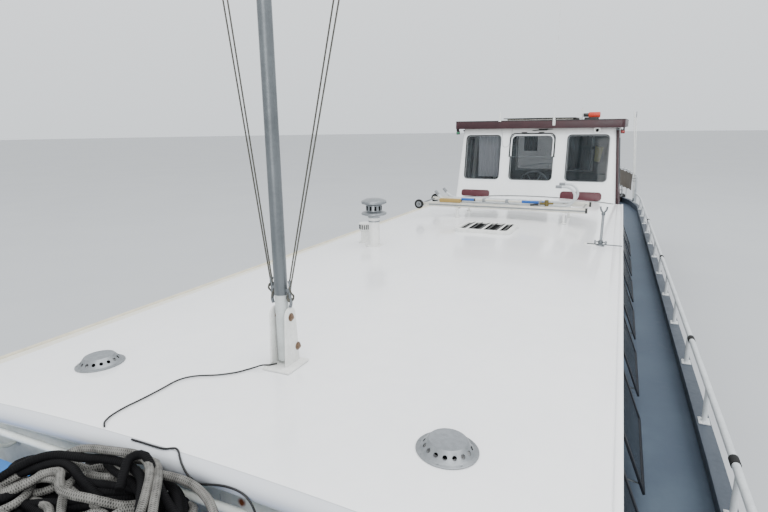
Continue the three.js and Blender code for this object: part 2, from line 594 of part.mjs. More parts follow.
function houseFront() {
  const outline = [];
  const steps = 8;
  const foot = (y) => roofTop(house.footX, y) + 10.4;
  for (let i = 0; i <= steps; i++) {
    const y = (house.half - 2) * (1 - 2 * i / steps);
    outline.push([-y, foot(y) * frontUp]);
  }
  const top = sideY(house.eaves) - seam;
  outline.push([top, house.eaves * frontUp], [-top, house.eaves * frontUp]);
  const shape = new THREE.Shape(outline.map((p) => new THREE.Vector2(...p)));
  for (const w of frontWindows) {
    shape.holes.push(glassOutline(THREE.Path, -w.y - w.width / 2, -w.y + w.width / 2,
      frontGlass.low, frontGlass.high, frontGlass.radius, frontUp));
  }
  return panel(frontPlane, shape, 0, house.thick);
}
addPiece('wheelhouse_front', houseFront(), whiteGloss);
for (const w of frontWindows) {
  const pane = glassOutline(THREE.Shape, -w.y - w.width / 2, -w.y + w.width / 2,
    frontGlass.low, frontGlass.high, frontGlass.radius, frontUp, seam);
  addPiece(`front_pane_${w.name}`, panel(frontPlane, pane, 18, paneThick), darkGlass);
}

function houseSide() {
  const behind = house.thick * frontUp + 2 * seam;
  const kneeZ = roof.edge + roof.camber + 12;
  const foot = house.sill + house.thick * house.tumble + 2 * seam;
  const outline = [[house.aft + seam, foot], [house.fore, foot], [house.fore, kneeZ],
    [frontX(house.eaves) - behind, house.eaves], [house.aft + seam, house.eaves]];
  const shape = new THREE.Shape(outline.map(([x, z]) => new THREE.Vector2(x, z * sideUp)));
  shape.holes.push(glassOutline(THREE.Path, sideGlass.aft, sideGlass.fore, sideGlass.low, sideGlass.high,
    sideGlass.radius, sideUp));
  shape.holes.push(glassOutline(THREE.Path, doorway.aft, doorway.fore, doorway.low, doorway.high, 40, sideUp));
  const wall = panel(sidePlane, shape, 0, house.thick);
  const z = (door.high + doorTrack.slack) * sideUp;
  const track = new THREE.Shape([[doorTrack.aft, z], [doorTrack.fore, z], [doorTrack.fore, z + doorTrack.height],
    [doorTrack.aft, z + doorTrack.height]].map((p) => new THREE.Vector2(...p)));
  return joined([wall, panel(sidePlane, track, -doorTrack.depth, doorTrack.depth + 10)]);
}
function sideDoor() {
  const leaf = new THREE.Shape([[door.aft, door.low * sideUp], [door.fore, door.low * sideUp],
    [door.fore, door.high * sideUp], [door.aft, door.high * sideUp]].map((p) => new THREE.Vector2(...p)));
  leaf.holes.push(glassOutline(THREE.Path, doorGlass.aft, doorGlass.fore, doorGlass.low, doorGlass.high,
    doorGlass.radius, sideUp));
  return panel(sidePlane, leaf, -door.gap - door.thick, door.thick);
}
const houseSideGeometry = houseSide();
const doorGeometry = sideDoor();
const sidePane = panel(sidePlane, glassOutline(THREE.Shape, sideGlass.aft, sideGlass.fore, sideGlass.low,
  sideGlass.high, sideGlass.radius, sideUp, seam), 18, paneThick);
const doorPane = panel(sidePlane, glassOutline(THREE.Shape, doorGlass.aft, doorGlass.fore, doorGlass.low,
  doorGlass.high, doorGlass.radius, sideUp, seam), -door.gap - door.thick + 12, paneThick);
for (const [side, mirrored] of [['port', false], ['starboard', true]]) {
  addPiece(`wheelhouse_side_${side}`, houseSideGeometry.clone(), whiteGloss, mirrored);
  addPiece(`door_${side}`, doorGeometry.clone(), maroon, mirrored);
  addPiece(`side_pane_${side}`, sidePane.clone(), darkGlass, mirrored);
  addPiece(`door_pane_${side}`, doorPane.clone(), darkGlass, mirrored);
}

function houseBack() {
  const low = sideY(house.sill) - 2;
  const high = sideY(house.eaves) - 2;
  const shape = new THREE.Shape([[-low, house.sill + 2 * seam], [low, house.sill + 2 * seam], [high, house.eaves],
    [-high, house.eaves]].map((p) => new THREE.Vector2(...p)));
  shape.holes.push(roundedOutline(THREE.Path, -backGlass.half, backGlass.half, backGlass.low, backGlass.high,
    backGlass.radius));
  return panel(backPlane, shape, -house.thick, house.thick);
}
addPiece('wheelhouse_back', houseBack(), whiteGloss);
addPiece('back_pane', panel(backPlane, roundedOutline(THREE.Shape, seam - backGlass.half, backGlass.half - seam,
  backGlass.low + seam, backGlass.high - seam, backGlass.radius - seam), -30, paneThick), darkGlass);
addPiece('wheelhouse_floor', block(house.aft + 10, house.fore - 10, 20 - house.half, house.half - 20,
  house.sill + seam, house.sill + floorPlate), vinylGrey);

function houseRoofShape() {
  const { aft, fore, half, board, slab, camber } = houseRoof;
  const inner = half - board - seam;
  const ring = (x) => {
    const over = [];
    for (let i = 0; i <= 6; i++) {
      const y = inner * (1 - i / 3);
      over.push([x, y, house.eaves + slab + camber * (1 - (y / inner) ** 2)]);
    }
    return [...over, [x, -inner, house.eaves + seam], [x, inner, house.eaves + seam]];
  };
  return skin([aft + board + seam, fore - board - seam].map(ring));
}
addPiece('wheelhouse_roof', houseRoofShape(), whiteSatin);
function fasciaShape() {
  const { aft, fore, half, low, high, board } = houseRoof;
  const shape = roundedOutline(THREE.Shape, aft, fore, -half, half, 60);
  shape.holes.push(new THREE.Path([[aft + board, board - half], [fore - board, board - half],
    [fore - board, half - board], [aft + board, half - board]].map((p) => new THREE.Vector2(...p))));
  return panel(planeAt([0, 0, low], [1, 0, 0], [0, 1, 0]), shape, 0, high - low);
}
addPiece('roof_fascia', fasciaShape(), maroon);

// Inside the wheelhouse: console, steering wheel, seat

function consoleShape() {
  const side = planeAt([0, consoleAt.half, 0], [1, 0, 0], [0, 0, 1]);
  const { aft, fore, half, top, slope, column } = consoleAt;
  const foot = house.sill + floorPlate + seam;
  const shape = new THREE.Shape([[aft, foot], [fore, foot], [fore, top], [fore - slope, top], [aft, top - slope]]
    .map((p) => new THREE.Vector2(...p)));
  const post = block(aft + 15, aft + 2 * column, wheelAt.y - column, wheelAt.y + column,
    top - 200, wheelAt.z + 60);
  const axle = bar([aft + 30, wheelAt.y, wheelAt.z], [wheelAt.x + 8, wheelAt.y, wheelAt.z], consoleAt.axle, 12);
  return joined([panel(side, shape, 0, 2 * half), post, axle]);
}
addPiece('console', consoleShape(), maroon);
function steeringWheelShape() {
  const { x, y, z, radius } = wheelAt;
  const rim = new THREE.TorusGeometry(radius, wheelAt.rim, 6, 24).rotateY(Math.PI / 2).translate(x, y, z);
  const hub = bar([x - 25, y, z], [x + 8 - seam, y, z], wheelAt.hub, 12);
  const spokes = Array.from({ length: wheelAt.spokes }, (_, i) => {
    const turn = 2 * Math.PI * i / wheelAt.spokes;
    const tip = [x - 8, y + radius * Math.cos(turn), z + radius * Math.sin(turn)];
    return bar([x - 8, y, z], tip, wheelAt.spoke, 6);
  });
  return joined([rim, hub, ...spokes]);
}
addPiece('steering_wheel', steeringWheelShape(), bareSteel);
function seatShape() {
  const { x, y, top, seat: [low, high], half, back, post, base } = seatAt;
  const floor = house.sill + floorPlate + seam;
  return joined([block(x - half, x + half, y - half - 10, y + half + 10, low, high),
    block(x - half - 70, x - half - 70 + back, y - half, y + half, low + 10, top),
    bar([x, y, floor], [x, y, low + 30], post, 12), bar([x, y, floor], [x, y, floor + 20], base, 16)]);
}
addPiece('helm_seat', seatShape(), vinylGrey);
addPiece('engine', block(engineBlock.aft, engineBlock.fore, -engineBlock.half, engineBlock.half,
  engineRoom.floor + seam, engineBlock.top), engineGreen);

// Running gear

function propellerShape() {
  const { x, z, radius, hub, hubHalf, nut, shaft, blades, blade: thick, twist, turn } = propellerAt;
  const hubEnd = x + 10 - hubHalf;
  const pieces = [bar([x + 10 + hubHalf, 0, z], [hubEnd, 0, z], hub, 16),
    bar([hubEnd, 0, z], [hubEnd - 70, 0, z], hub, 16, nut), bar([x, 0, z], [skeg.aft + 400, 0, z], shaft, 24)];
  for (let i = 0; i < blades; i++) {
    const blade = new THREE.Shape();
    blade.moveTo(-40, 20);
    blade.bezierCurveTo(-150, 140, -150, radius, 0, radius);
    blade.bezierCurveTo(150, radius, 150, 140, 40, 20);
    const plate = new THREE.ExtrudeGeometry(blade, { depth: thick, bevelEnabled: false, curveSegments: 8 });
    plate.translate(0, 0, -thick / 2).rotateY(Math.PI / 2 - twist).rotateX(2 * Math.PI * i / blades + turn);
    plate.translate(x, 0, z);
    pieces.push(plate);
  }
  return joined(pieces);
}
addPiece('propeller', propellerShape(), bronze);
function rudderShape() {
  const { x, fore, aft, low, high, half, stock, stockTop } = rudderAt;
  const foil = new THREE.Shape([[fore, 0], [fore - 60, -half], [x, -half - 10], [aft, -8], [aft, 8], [x, half + 10],
    [fore - 60, half]].map((p) => new THREE.Vector2(...p)));
  const blade = panel(planeAt([0, 0, low], [1, 0, 0], [0, 1, 0]), foil, 0, high - low);
  return joined([blade, bar([x, 0, high - 20], [x, 0, stockTop], stock, 24),
    bar([x, 0, skeg.low + 40], [x, 0, low + 20], rudderAt.pintle, 24)]);
}
addPiece('rudder', rudderShape(), hullNavy);

// Tabernacle and mast

const mastBase = roofTop(mastAt.x, mastAt.y);
function cheekPlate(y) {
  const shape = new THREE.Shape();
  const half = cheek.width / 2;
  const round = half * 0.7;
  shape.moveTo(-half, mastBase + 6);
  shape.lineTo(half, mastBase + 6);
  shape.lineTo(round, cheek.top - round);
  shape.absarc(0, cheek.top - round, round, 0, Math.PI);
  const side = planeAt([mastAt.x, y + cheek.thick, 0], [1, 0, 0], [0, 0, 1]);
  return panel(side, shape, 0, cheek.thick);
}
function tabernacleShape() {
  const { x, y, pivotZ } = mastAt;
  const reach = cheek.inner + cheek.thick + 14;
  const lockX = x - cheek.lockBack;
  return joined([block(x - mastStep.aft - 30, x + mastStep.fore, y - mastStep.starboard, y + mastStep.port,
    mastBase - 20, mastBase + mastStep.thick), cheekPlate(y + cheek.inner), cheekPlate(y - cheek.inner - cheek.thick),
  bar([x, y - reach, pivotZ], [x, y + reach, pivotZ], cheek.pin, 12),
  bar([lockX, y - reach, cheek.lockZ], [lockX, y + reach, cheek.lockZ], cheek.lockPin, 12)]);
}
addPiece('tabernacle', onRoof(tabernacleShape()), whiteSatin);
function mastShape() {
  const { x, y, radius, pivotZ, footZ, topZ, yardZ, yardHalf } = mastAt;
  const pieces = [bar([x, y, footZ], [x, y, topZ], radius, 20),
    bar([x, y - yardHalf, yardZ], [x, y + yardHalf, yardZ], yardRadius, 10),
    bar([x, y, topZ - 5], [x, y, topZ + mastCap.high], mastCap.radius, 16)];
  for (const { side, z } of cleats) {
    const out = y + side * (radius + cleat.reach);
    pieces.push(bar([x, y + side * 20, z], [x, out, z], cleat.stem, 8));
    pieces.push(bar([x, out - side * 2, z - cleat.half], [x, out - side * 2, z + cleat.half], cleat.horn, 8));
  }
  return cutBy(joined(pieces), [bar([x, y - 80, pivotZ], [x, y + 80, pivotZ], cheek.pin + runningGap, 12)]);
}
addPiece('mast', mastShape(), alloy);

// Things on the coachroof

function ventShape([x, y]) {
  const { flange, top } = vents;
  const profile = [[0, -30], [flange, -30], [flange, 5], [flange - 5, 8], [104, 9], [79, top - 4], [75, top],
    [0, top]]
    .map((p) => new THREE.Vector2(...p));
  const lean = Math.atan(2 * roof.camber * y / roofHalf(x) ** 2);
  return new THREE.LatheGeometry(profile, 28).rotateX(Math.PI / 2 - lean).translate(x, y, roofTop(x, y));
}
for (const side of ['port', 'starboard']) {
  addPiece(`vent_${side}`, onRoof(ventShape(vents.places[side])), bareSteel);
}
function flueShape() {
  const { x, y, radius, cowl, top } = flueAt;
  const z = roofTop(x, y);
  const profile = [[0, -20], [radius + 35, -20], [radius + 30, 14], [radius, 18], [radius, top - z - 190],
    [cowl - 10, top - z - 180], [cowl, top - z - 160], [cowl, top - z - 130], [radius + 25, top - z - 118],
    [radius + 25, top - z - 70], [cowl, top - z - 58], [cowl, top - z - 22], [cowl - 15, top - z], [0, top - z]]
    .map((p) => new THREE.Vector2(...p));
  return new THREE.LatheGeometry(profile, 24).rotateX(Math.PI / 2).translate(x, y, z);
}
addPiece('flue', onRoof(flueShape()), whiteSatin);
function shortVentShape() {
  const { x, y, radius, top } = shortVentAt;
  const z = roofTop(x, y);
  const profile = [[0, -20], [radius + 25, -20], [radius + 22, 12], [radius, 16], [radius, top - z - 85],
    [radius + 22, top - z - 80], [radius + 22, top - z - 8], [radius + 12, top - z], [0, top - z]]
    .map((p) => new THREE.Vector2(...p));
  return new THREE.LatheGeometry(profile, 20).rotateX(Math.PI / 2).translate(x, y, z);
}
addPiece('short_vent', onRoof(shortVentShape()), whiteSatin);
{
  const { x, y, length, width, height, corner } = hatchAt;
  const z = roofTop(x, 0) - 30;
  const frame = panel(planeAt([x, y, z], [1, 0, 0], [0, 1, 0]),
    roundedOutline(THREE.Shape, -length / 2, length / 2, -width / 2, width / 2, corner), 0, height + 30);
  addPiece('roof_hatch', onRoof(frame), whiteSatin);
}

// Rack, gangway with its wheels, and ladder, stowed across the roof

function rackShape() {
  const pieces = [];
  for (const x of [rack.near, rack.far]) {
    for (const y of [rack.starboard, rack.port]) {
      pieces.push(bar([x, y, roofTop(x, y) - 20], [x, y, rack.top - 10], rack.leg, 10));
      pieces.push(bar([x, y, roofTop(x, y) - 20], [x, y, roofTop(x, y) + 8], rack.foot, 10));
    }
  }
  for (const y of [rack.starboard, rack.port]) {
    pieces.push(block(rack.far - 40, rack.near + 40, y - rack.beam, y + rack.beam,
      rack.top - rack.deep, rack.top));
  }
  const middle = (rack.near + rack.far) / 2;
  pieces.push(block(middle - 20, middle + 20, rack.starboard, rack.port, rack.top - rack.deep, rack.top - 2));
  return joined(pieces);
}
addPiece('gangway_rack', onRoof(rackShape()), whiteSatin);
function gangwayShape() {
  const { near, far, starboard, port, low, deep, rail, rungs, rungHalf, rungRise, end, lug } = gangwayAt;
  const pieces = [];
  for (const x of [near, far]) pieces.push(block(x - rail / 2, x + rail / 2, starboard, port, low, low + deep));
  for (let i = 0; i < rungs; i++) {
    const y = starboard + end + i * (port - starboard - 2 * end) / (rungs - 1);
    pieces.push(block(far, near, y - rungHalf, y + rungHalf, low + rungRise, low + rungRise + 2 * rungHalf));
  }
  for (const x of [near, far]) {
    pieces.push(block(x - lug, x + lug, gangwayWheel.y - 26, starboard + 5, low + 4, low + deep - 10));
  }
  const { y, z, axle } = gangwayWheel;
  return cutBy(joined(pieces), [bar([far - 60, y, z], [near + 60, y, z], axle + 1, 12)]);
}
addPiece('gangway', gangwayShape(), alloy);
function wheelPair() {
  const { radius, width, y, z, axle, beside } = gangwayWheel;
  const near = gangwayAt.near + beside;
  const far = gangwayAt.far - beside;
  return joined([bar([far - width, y, z], [near + width, y, z], axle, 12),
    bar([near, y, z], [near + width, y, z], radius, 24), bar([far - width, y, z], [far, y, z], radius, 24)]);
}
addPiece('gangway_wheels', wheelPair(), blackRubber);
function ladderShape() {
  const { near, far, low, tube: r, starboard, port, hook, rungs, firstRung, rungPitch, rung } = ladderAt;
  const pieces = [];
  for (const x of [near, far]) {
    const run = [[x, starboard, low + 130], [x, starboard + 60, low + 60], [x, starboard + 170, low],
      [x, starboard + 185, low], [x, starboard + 260, low], [x, port - 60, low], [x, port, low]];
    pieces.push(tube(run, r, 14, 8));
    const bend = [];
    for (let i = 0; i <= 6; i++) {
      const turn = -Math.PI / 2 + Math.PI * i / 6;
      bend.push([x, port + hook * Math.cos(turn) - 2, low + hook + hook * Math.sin(turn)]);
    }
    bend.push([x, port - 120, low + 2 * hook]);
    pieces.push(tube(bend, r, 10, 8));
  }
  for (let i = 0; i < rungs; i++) {
    const y = starboard + firstRung + i * rungPitch;
    pieces.push(bar([far, y, low], [near, y, low], rung, 8));
  }
  return joined(pieces);
}
addPiece('ladder', ladderShape(), whiteSatin);
function forkShape() {
  const { x, y, top, radius, foot, lean, spread, prong, prongFrom } = forkAt;
  const z = roofTop(x, y);
  const pieces = [bar([x, y, z - 20], [x - lean, y + 6, top - prongFrom + 10], radius, 10),
    bar([x, y, z - 20], [x, y, z + 9], foot, 12)];
  for (const s of [-1, 1]) {
    const run = [[x - lean + 2, y + 5, top - prongFrom], [x - lean, y + 6 + s * (spread - 12), top - 45],
      [x - lean - 2, y + 6 + s * spread, top]];
    pieces.push(tube(run, prong, 6, 8));
  }
  return joined(pieces);
}
addPiece('fork_post', onRoof(forkShape()), bareSteel);

// Foredeck and aft deck gear

// Sets a shape that is made at the origin onto the deck at x, turned to the deck's slope.
function onDeck(geometry, x) {
  const slope = (deckTop(x + 100) - deckTop(x - 100)) / 200;
  return geometry.rotateY(-Math.atan(slope)).translate(x, 0, deckTop(x) + 2 * seam);
}
// A pair of plumb posts on a plate, cut to the deck's slope at x.
function bittsShape(x) {
  const { radius, height, spread, bar: crossBar, plate } = bitt;
  const reach = spread / 2 + crossBar.over;
  const pieces = [block(-plate.long, plate.long, -plate.half, plate.half, -plate.deep, plate.deep),
    bar([0, -reach, height * crossBar.share], [0, reach, height * crossBar.share], crossBar.radius, 12)];
  for (const y of [-spread / 2, spread / 2]) pieces.push(bar([0, y, -plate.deep], [0, y, height], radius, 20));
  const underDeck = onDeck(block(-600, 600, -600, 600, -400, 0), x);
  return cutBy(joined(pieces).translate(x, 0, deckTop(x)), [underDeck]);
}
addPiece('bitts_aft', bittsShape(bitt.aftX), blackRubber);
addPiece('bitts_fore', bittsShape(bitt.foreX), blackRubber);
addPiece('rope_locker', block(locker.aft, locker.fore, locker.starboard, locker.port, deckTop(locker.fore) + seam,
  locker.top), lockerBlue);
function windlassShape() {
  const { high, axle, cheekAt, cheek: thick, cheekHalf, over, bed: [long, half, deep], reach } = windlassAt;
  const cheeks = [-cheekAt, cheekAt].map((y) => block(-cheekHalf, cheekHalf, y - thick, y + thick,
    4, high + over));
  const bed = block(-long, long, -half, half, 0, deep);
  return cutBy(joined([...cheeks, bed]), [bar([0, -reach, high], [0, reach, high], axle + runningGap, 24)]);
}
function drumShape() {
  const { high, axle, drum, core, flange, drumHalf, warpEnd, warpFrom, reach } = windlassAt;
  const pieces = [bar([0, -reach, high], [0, reach, high], axle, 24),
    bar([0, -drumHalf, high], [0, drumHalf, high], core, 16)];
  for (const y of [-drumHalf, 0, drumHalf]) {
    pieces.push(bar([0, y - flange, high], [0, y + flange, high], drum, 20));
  }
  for (const s of [-1, 1]) pieces.push(bar([0, s * warpFrom, high], [0, s * reach, high], warpEnd, 16));
  return joined(pieces);
}
addPiece('windlass_frame', onDeck(windlassShape(), windlassAt.x), hullNavy);
addPiece('windlass_drum', onDeck(drumShape(), windlassAt.x), hullNavy);

// Ropes and cables

// The mast's cable starts on the mast step and crosses the roof to a gland at the front edge.
const mastCableRoute = [[4672, 14, 2606.4], [4700, -8, 2606.4], [4719, -42, 2606.4], [4742, -72, 2598.5],
  [4770, -96, 2595], [4816, -124, 2595], [4875, -190, 2595], [4925, -285, 2593.5], [4990, -330, 2592.5],
  [5098, -334, 2592], [5193, -339, 2592], [5281, -347, 2592], [5349, -342, 2592], [5396, -322, 2592.5],
  [5422, -292, 2593]];
// The front wire leaves a gland by that edge, lies against the coaming and goes back in through the cabin front.
const frontWireRoute = [[5444.5, -115, 2591.3], [5444.5, -60, 2591.6], [5445, 0, 2591.6], [5443, 52, 2592.4],
  [5431, 79, 2594.4], [5427, 96, 2594.6], [5436, 116, 2593.2], [5452, 136, 2588.4], [5468, 159, 2576],
  [5478, 183, 2558], [5480, 206, 2537], [5474, 228, 2518], [5478, 267, 2526], [5480.3, 330, 2543],
  [5480, 378, 2548.5], [5480, 421, 2546], [5480.6, 455, 2534], [5482, 480, 2508], [5484, 497, 2466],
  [5484, 508, 2415], [5482, 514, 2366], [5470, 520, 2318], [5440, 526, 2284], [5400, 528, 2270],
  [5361, 528, 2270]];
const cable = { radius: 4 };
addPiece('mast_cable', tube(mastCableRoute, cable.radius, 36, 8), ropeBlack);
addPiece('front_wire', tube(frontWireRoute, cable.radius, 72, 8), ropeBlack);
// Each rope lies heaped in loops: a low mound, wider across the boat.
function heapShape({ x, y, low, high, halfX, halfY, rounding }) {
  const tall = high - low;
  const round = tall * rounding;
  const profile = [[0, 0], [halfX - round, 0], [halfX, round], [halfX, tall - round], [halfX - round, tall],
    [0, tall]].map((p) => new THREE.Vector2(...p));
  return new THREE.LatheGeometry(profile, 24).rotateX(Math.PI / 2).scale(1, halfY / halfX, 1).translate(x, y, low);
}
addPiece('rope_black', heapShape(heaps.rope_black), ropeBlack);
addPiece('rope_grey', heapShape(heaps.rope_grey), ropeGrey);

export default barge;
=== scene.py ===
from math import atan, atan2, cos, exp, hypot, pi, radians, sin

import bmesh
import bpy
from mathutils import Matrix, Vector


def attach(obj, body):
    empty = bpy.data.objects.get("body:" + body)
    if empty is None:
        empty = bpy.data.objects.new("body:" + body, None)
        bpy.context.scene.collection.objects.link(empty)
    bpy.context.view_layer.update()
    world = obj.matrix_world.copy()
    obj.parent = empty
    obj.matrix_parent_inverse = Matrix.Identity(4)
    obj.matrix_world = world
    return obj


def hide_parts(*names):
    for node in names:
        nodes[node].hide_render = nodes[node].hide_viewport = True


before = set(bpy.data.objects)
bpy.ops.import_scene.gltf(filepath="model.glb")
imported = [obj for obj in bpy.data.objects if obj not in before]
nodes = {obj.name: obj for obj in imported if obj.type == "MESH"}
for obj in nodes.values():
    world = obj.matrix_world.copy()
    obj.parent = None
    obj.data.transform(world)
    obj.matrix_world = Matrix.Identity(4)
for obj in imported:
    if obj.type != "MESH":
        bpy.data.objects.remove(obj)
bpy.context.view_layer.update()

print("stage: frame loaded")

# Camera: it stands over the foredeck and looks aft along the coachroof
cameraAt = {"place": (6.75, 1.567, 3.75), "yaw": 24.58, "pitch": 13.28, "roll": -0.74, "lens": 25.55,
    "sensor": 36.0, "shiftX": -0.0013}


def linked(name, data):
    thing = bpy.data.objects.new(name, data)
    bpy.context.scene.collection.objects.link(thing)
    return thing


def makeCamera(at):
    yaw, pitch, roll = (radians(at[key]) for key in ("yaw", "pitch", "roll"))
    level, side, rise = Vector((-cos(yaw), -sin(yaw), 0)), Vector((-sin(yaw), cos(yaw), 0)), Vector((0, 0, 1))
    ahead = level * cos(pitch) - rise * sin(pitch)
    over = level * sin(pitch) + rise * cos(pitch)
    right = side * cos(roll) + over * sin(roll)
    up = over * cos(roll) - side * sin(roll)
    camera = linked("camera", bpy.data.cameras.new("camera"))
    camera.matrix_world = Matrix.Translation(at["place"]) @ Matrix((right, up, -ahead)).transposed().to_4x4()
    camera.data.lens = at["lens"]
    camera.data.sensor_width = at["sensor"]
    camera.data.shift_x = at["shiftX"]
    camera.data.clip_end = 500
    bpy.context.scene.camera = camera


makeCamera(cameraAt)


# Shader sums: a socket that plus, minus and times work on
class Signal:
    def __init__(self, finish, socket):
        self.finish, self.socket = finish, socket

    def math(self, operation, first, second):
        return self.finish.node("Math", {"operation": operation}, {0: first, 1: second})

    def __add__(self, other):
        return self.math("ADD", self, other)

    def __radd__(self, other):
        return self.math("ADD", other, self)

    def __sub__(self, other):
        return self.math("SUBTRACT", self, other)

    def __rsub__(self, other):
        return self.math("SUBTRACT", other, self)

    def __mul__(self, other):
        return self.math("MULTIPLY", self, other)

    def __rmul__(self, other):
        return self.math("MULTIPLY", other, self)


class Finish:  # one material, built from its own nodes
    def __init__(self, name, **constants):
        self.material = bpy.data.materials.new(name)
        self.material.use_nodes = True
        self.tree = self.material.node_tree
        self.shader = self.tree.nodes["Principled BSDF"]
        names = {"metal": "Metallic", "coat": "Coat Weight", "coatRough": "Coat Roughness",
            "sheen": "Sheen Weight", "specular": "Specular IOR Level", "rough": "Roughness"}
        for key, value in constants.items():
            self.shader.inputs[names[key]].default_value = value
        self.spots = self.node("TexCoord", take="Object")

    def node(self, kind, settings=None, sockets=None, take=0):
        made = self.tree.nodes.new("ShaderNode" + kind)
        for key, value in (settings or {}).items():
            if key == "stops":
                ramp = made.color_ramp
                while len(ramp.elements) < len(value):
                    ramp.elements.new(1)
                for stop, (place, colour) in zip(ramp.elements, value):
                    stop.position, stop.color = place, (*colour, 1)
            else:
                setattr(made, key, value)
        for key, value in (sockets or {}).items():
            if isinstance(value, Signal):
                self.tree.links.new(value.socket, made.inputs[key])
            else:
                made.inputs[key].default_value = value
        return Signal(self, made.outputs[take])

    def feed(self, name, signal):
        self.tree.links.new(signal.socket, self.shader.inputs[name])
        return self

    def placed(self, scale=(1, 1, 1), shift=(0, 0, 0), turn=(0, 0, 0), source=None):
        return self.node("Mapping", {}, {"Vector": source or self.spots, "Scale": scale, "Location": shift,
            "Rotation": tuple(radians(a) for a in turn)})

    def noise(self, scale, detail=4.0, roughness=0.55, source=None, distortion=0.0):
        return self.node("TexNoise", {}, {"Vector": source or self.spots, "Scale": scale, "Detail": detail,
            "Roughness": roughness, "Distortion": distortion})

    def ramp(self, signal, low, high):  # 0 below low, 1 above high
        return self.node("MapRange", {"clamp": True}, {0: signal, 1: low, 2: high, 3: 0.0, 4: 1.0})

    def mix(self, share, one, two):  # colours one and two, by share
        colour = lambda c: c if isinstance(c, Signal) else (*c, 1)
        return self.node("Mix", {"data_type": "RGBA"}, {0: share, 6: colour(one), 7: colour(two)}, take=2)

    def bump(self, height, strength, distance, under=None):
        sockets = {"Height": height, "Strength": strength, "Distance": distance}
        if under:
            sockets["Normal"] = under
        return self.node("Bump", {}, sockets)

    def axis(self, name):
        return self.node("SeparateXYZ", {}, {0: self.spots}, take=name)

    def near(self, place, reach):  # 1 at a place, 0 past its reach
        away = self.node("VectorMath", {"operation": "DISTANCE"}, {0: self.spots, 1: place}, take="Value")
        return self.node("MapRange", {"clamp": True}, {0: away, 1: reach, 2: 0.0, 3: 0.0, 4: 1.0})


def rgb(code):  # a colour as it is seen, such as c8d0d4, made linear
    parts = [int(code[i:i + 2], 16) / 255 for i in (0, 2, 4)]
    return tuple(p / 12.92 if p <= 0.04045 else ((p + 0.055) / 1.055) ** 2.4 for p in parts)


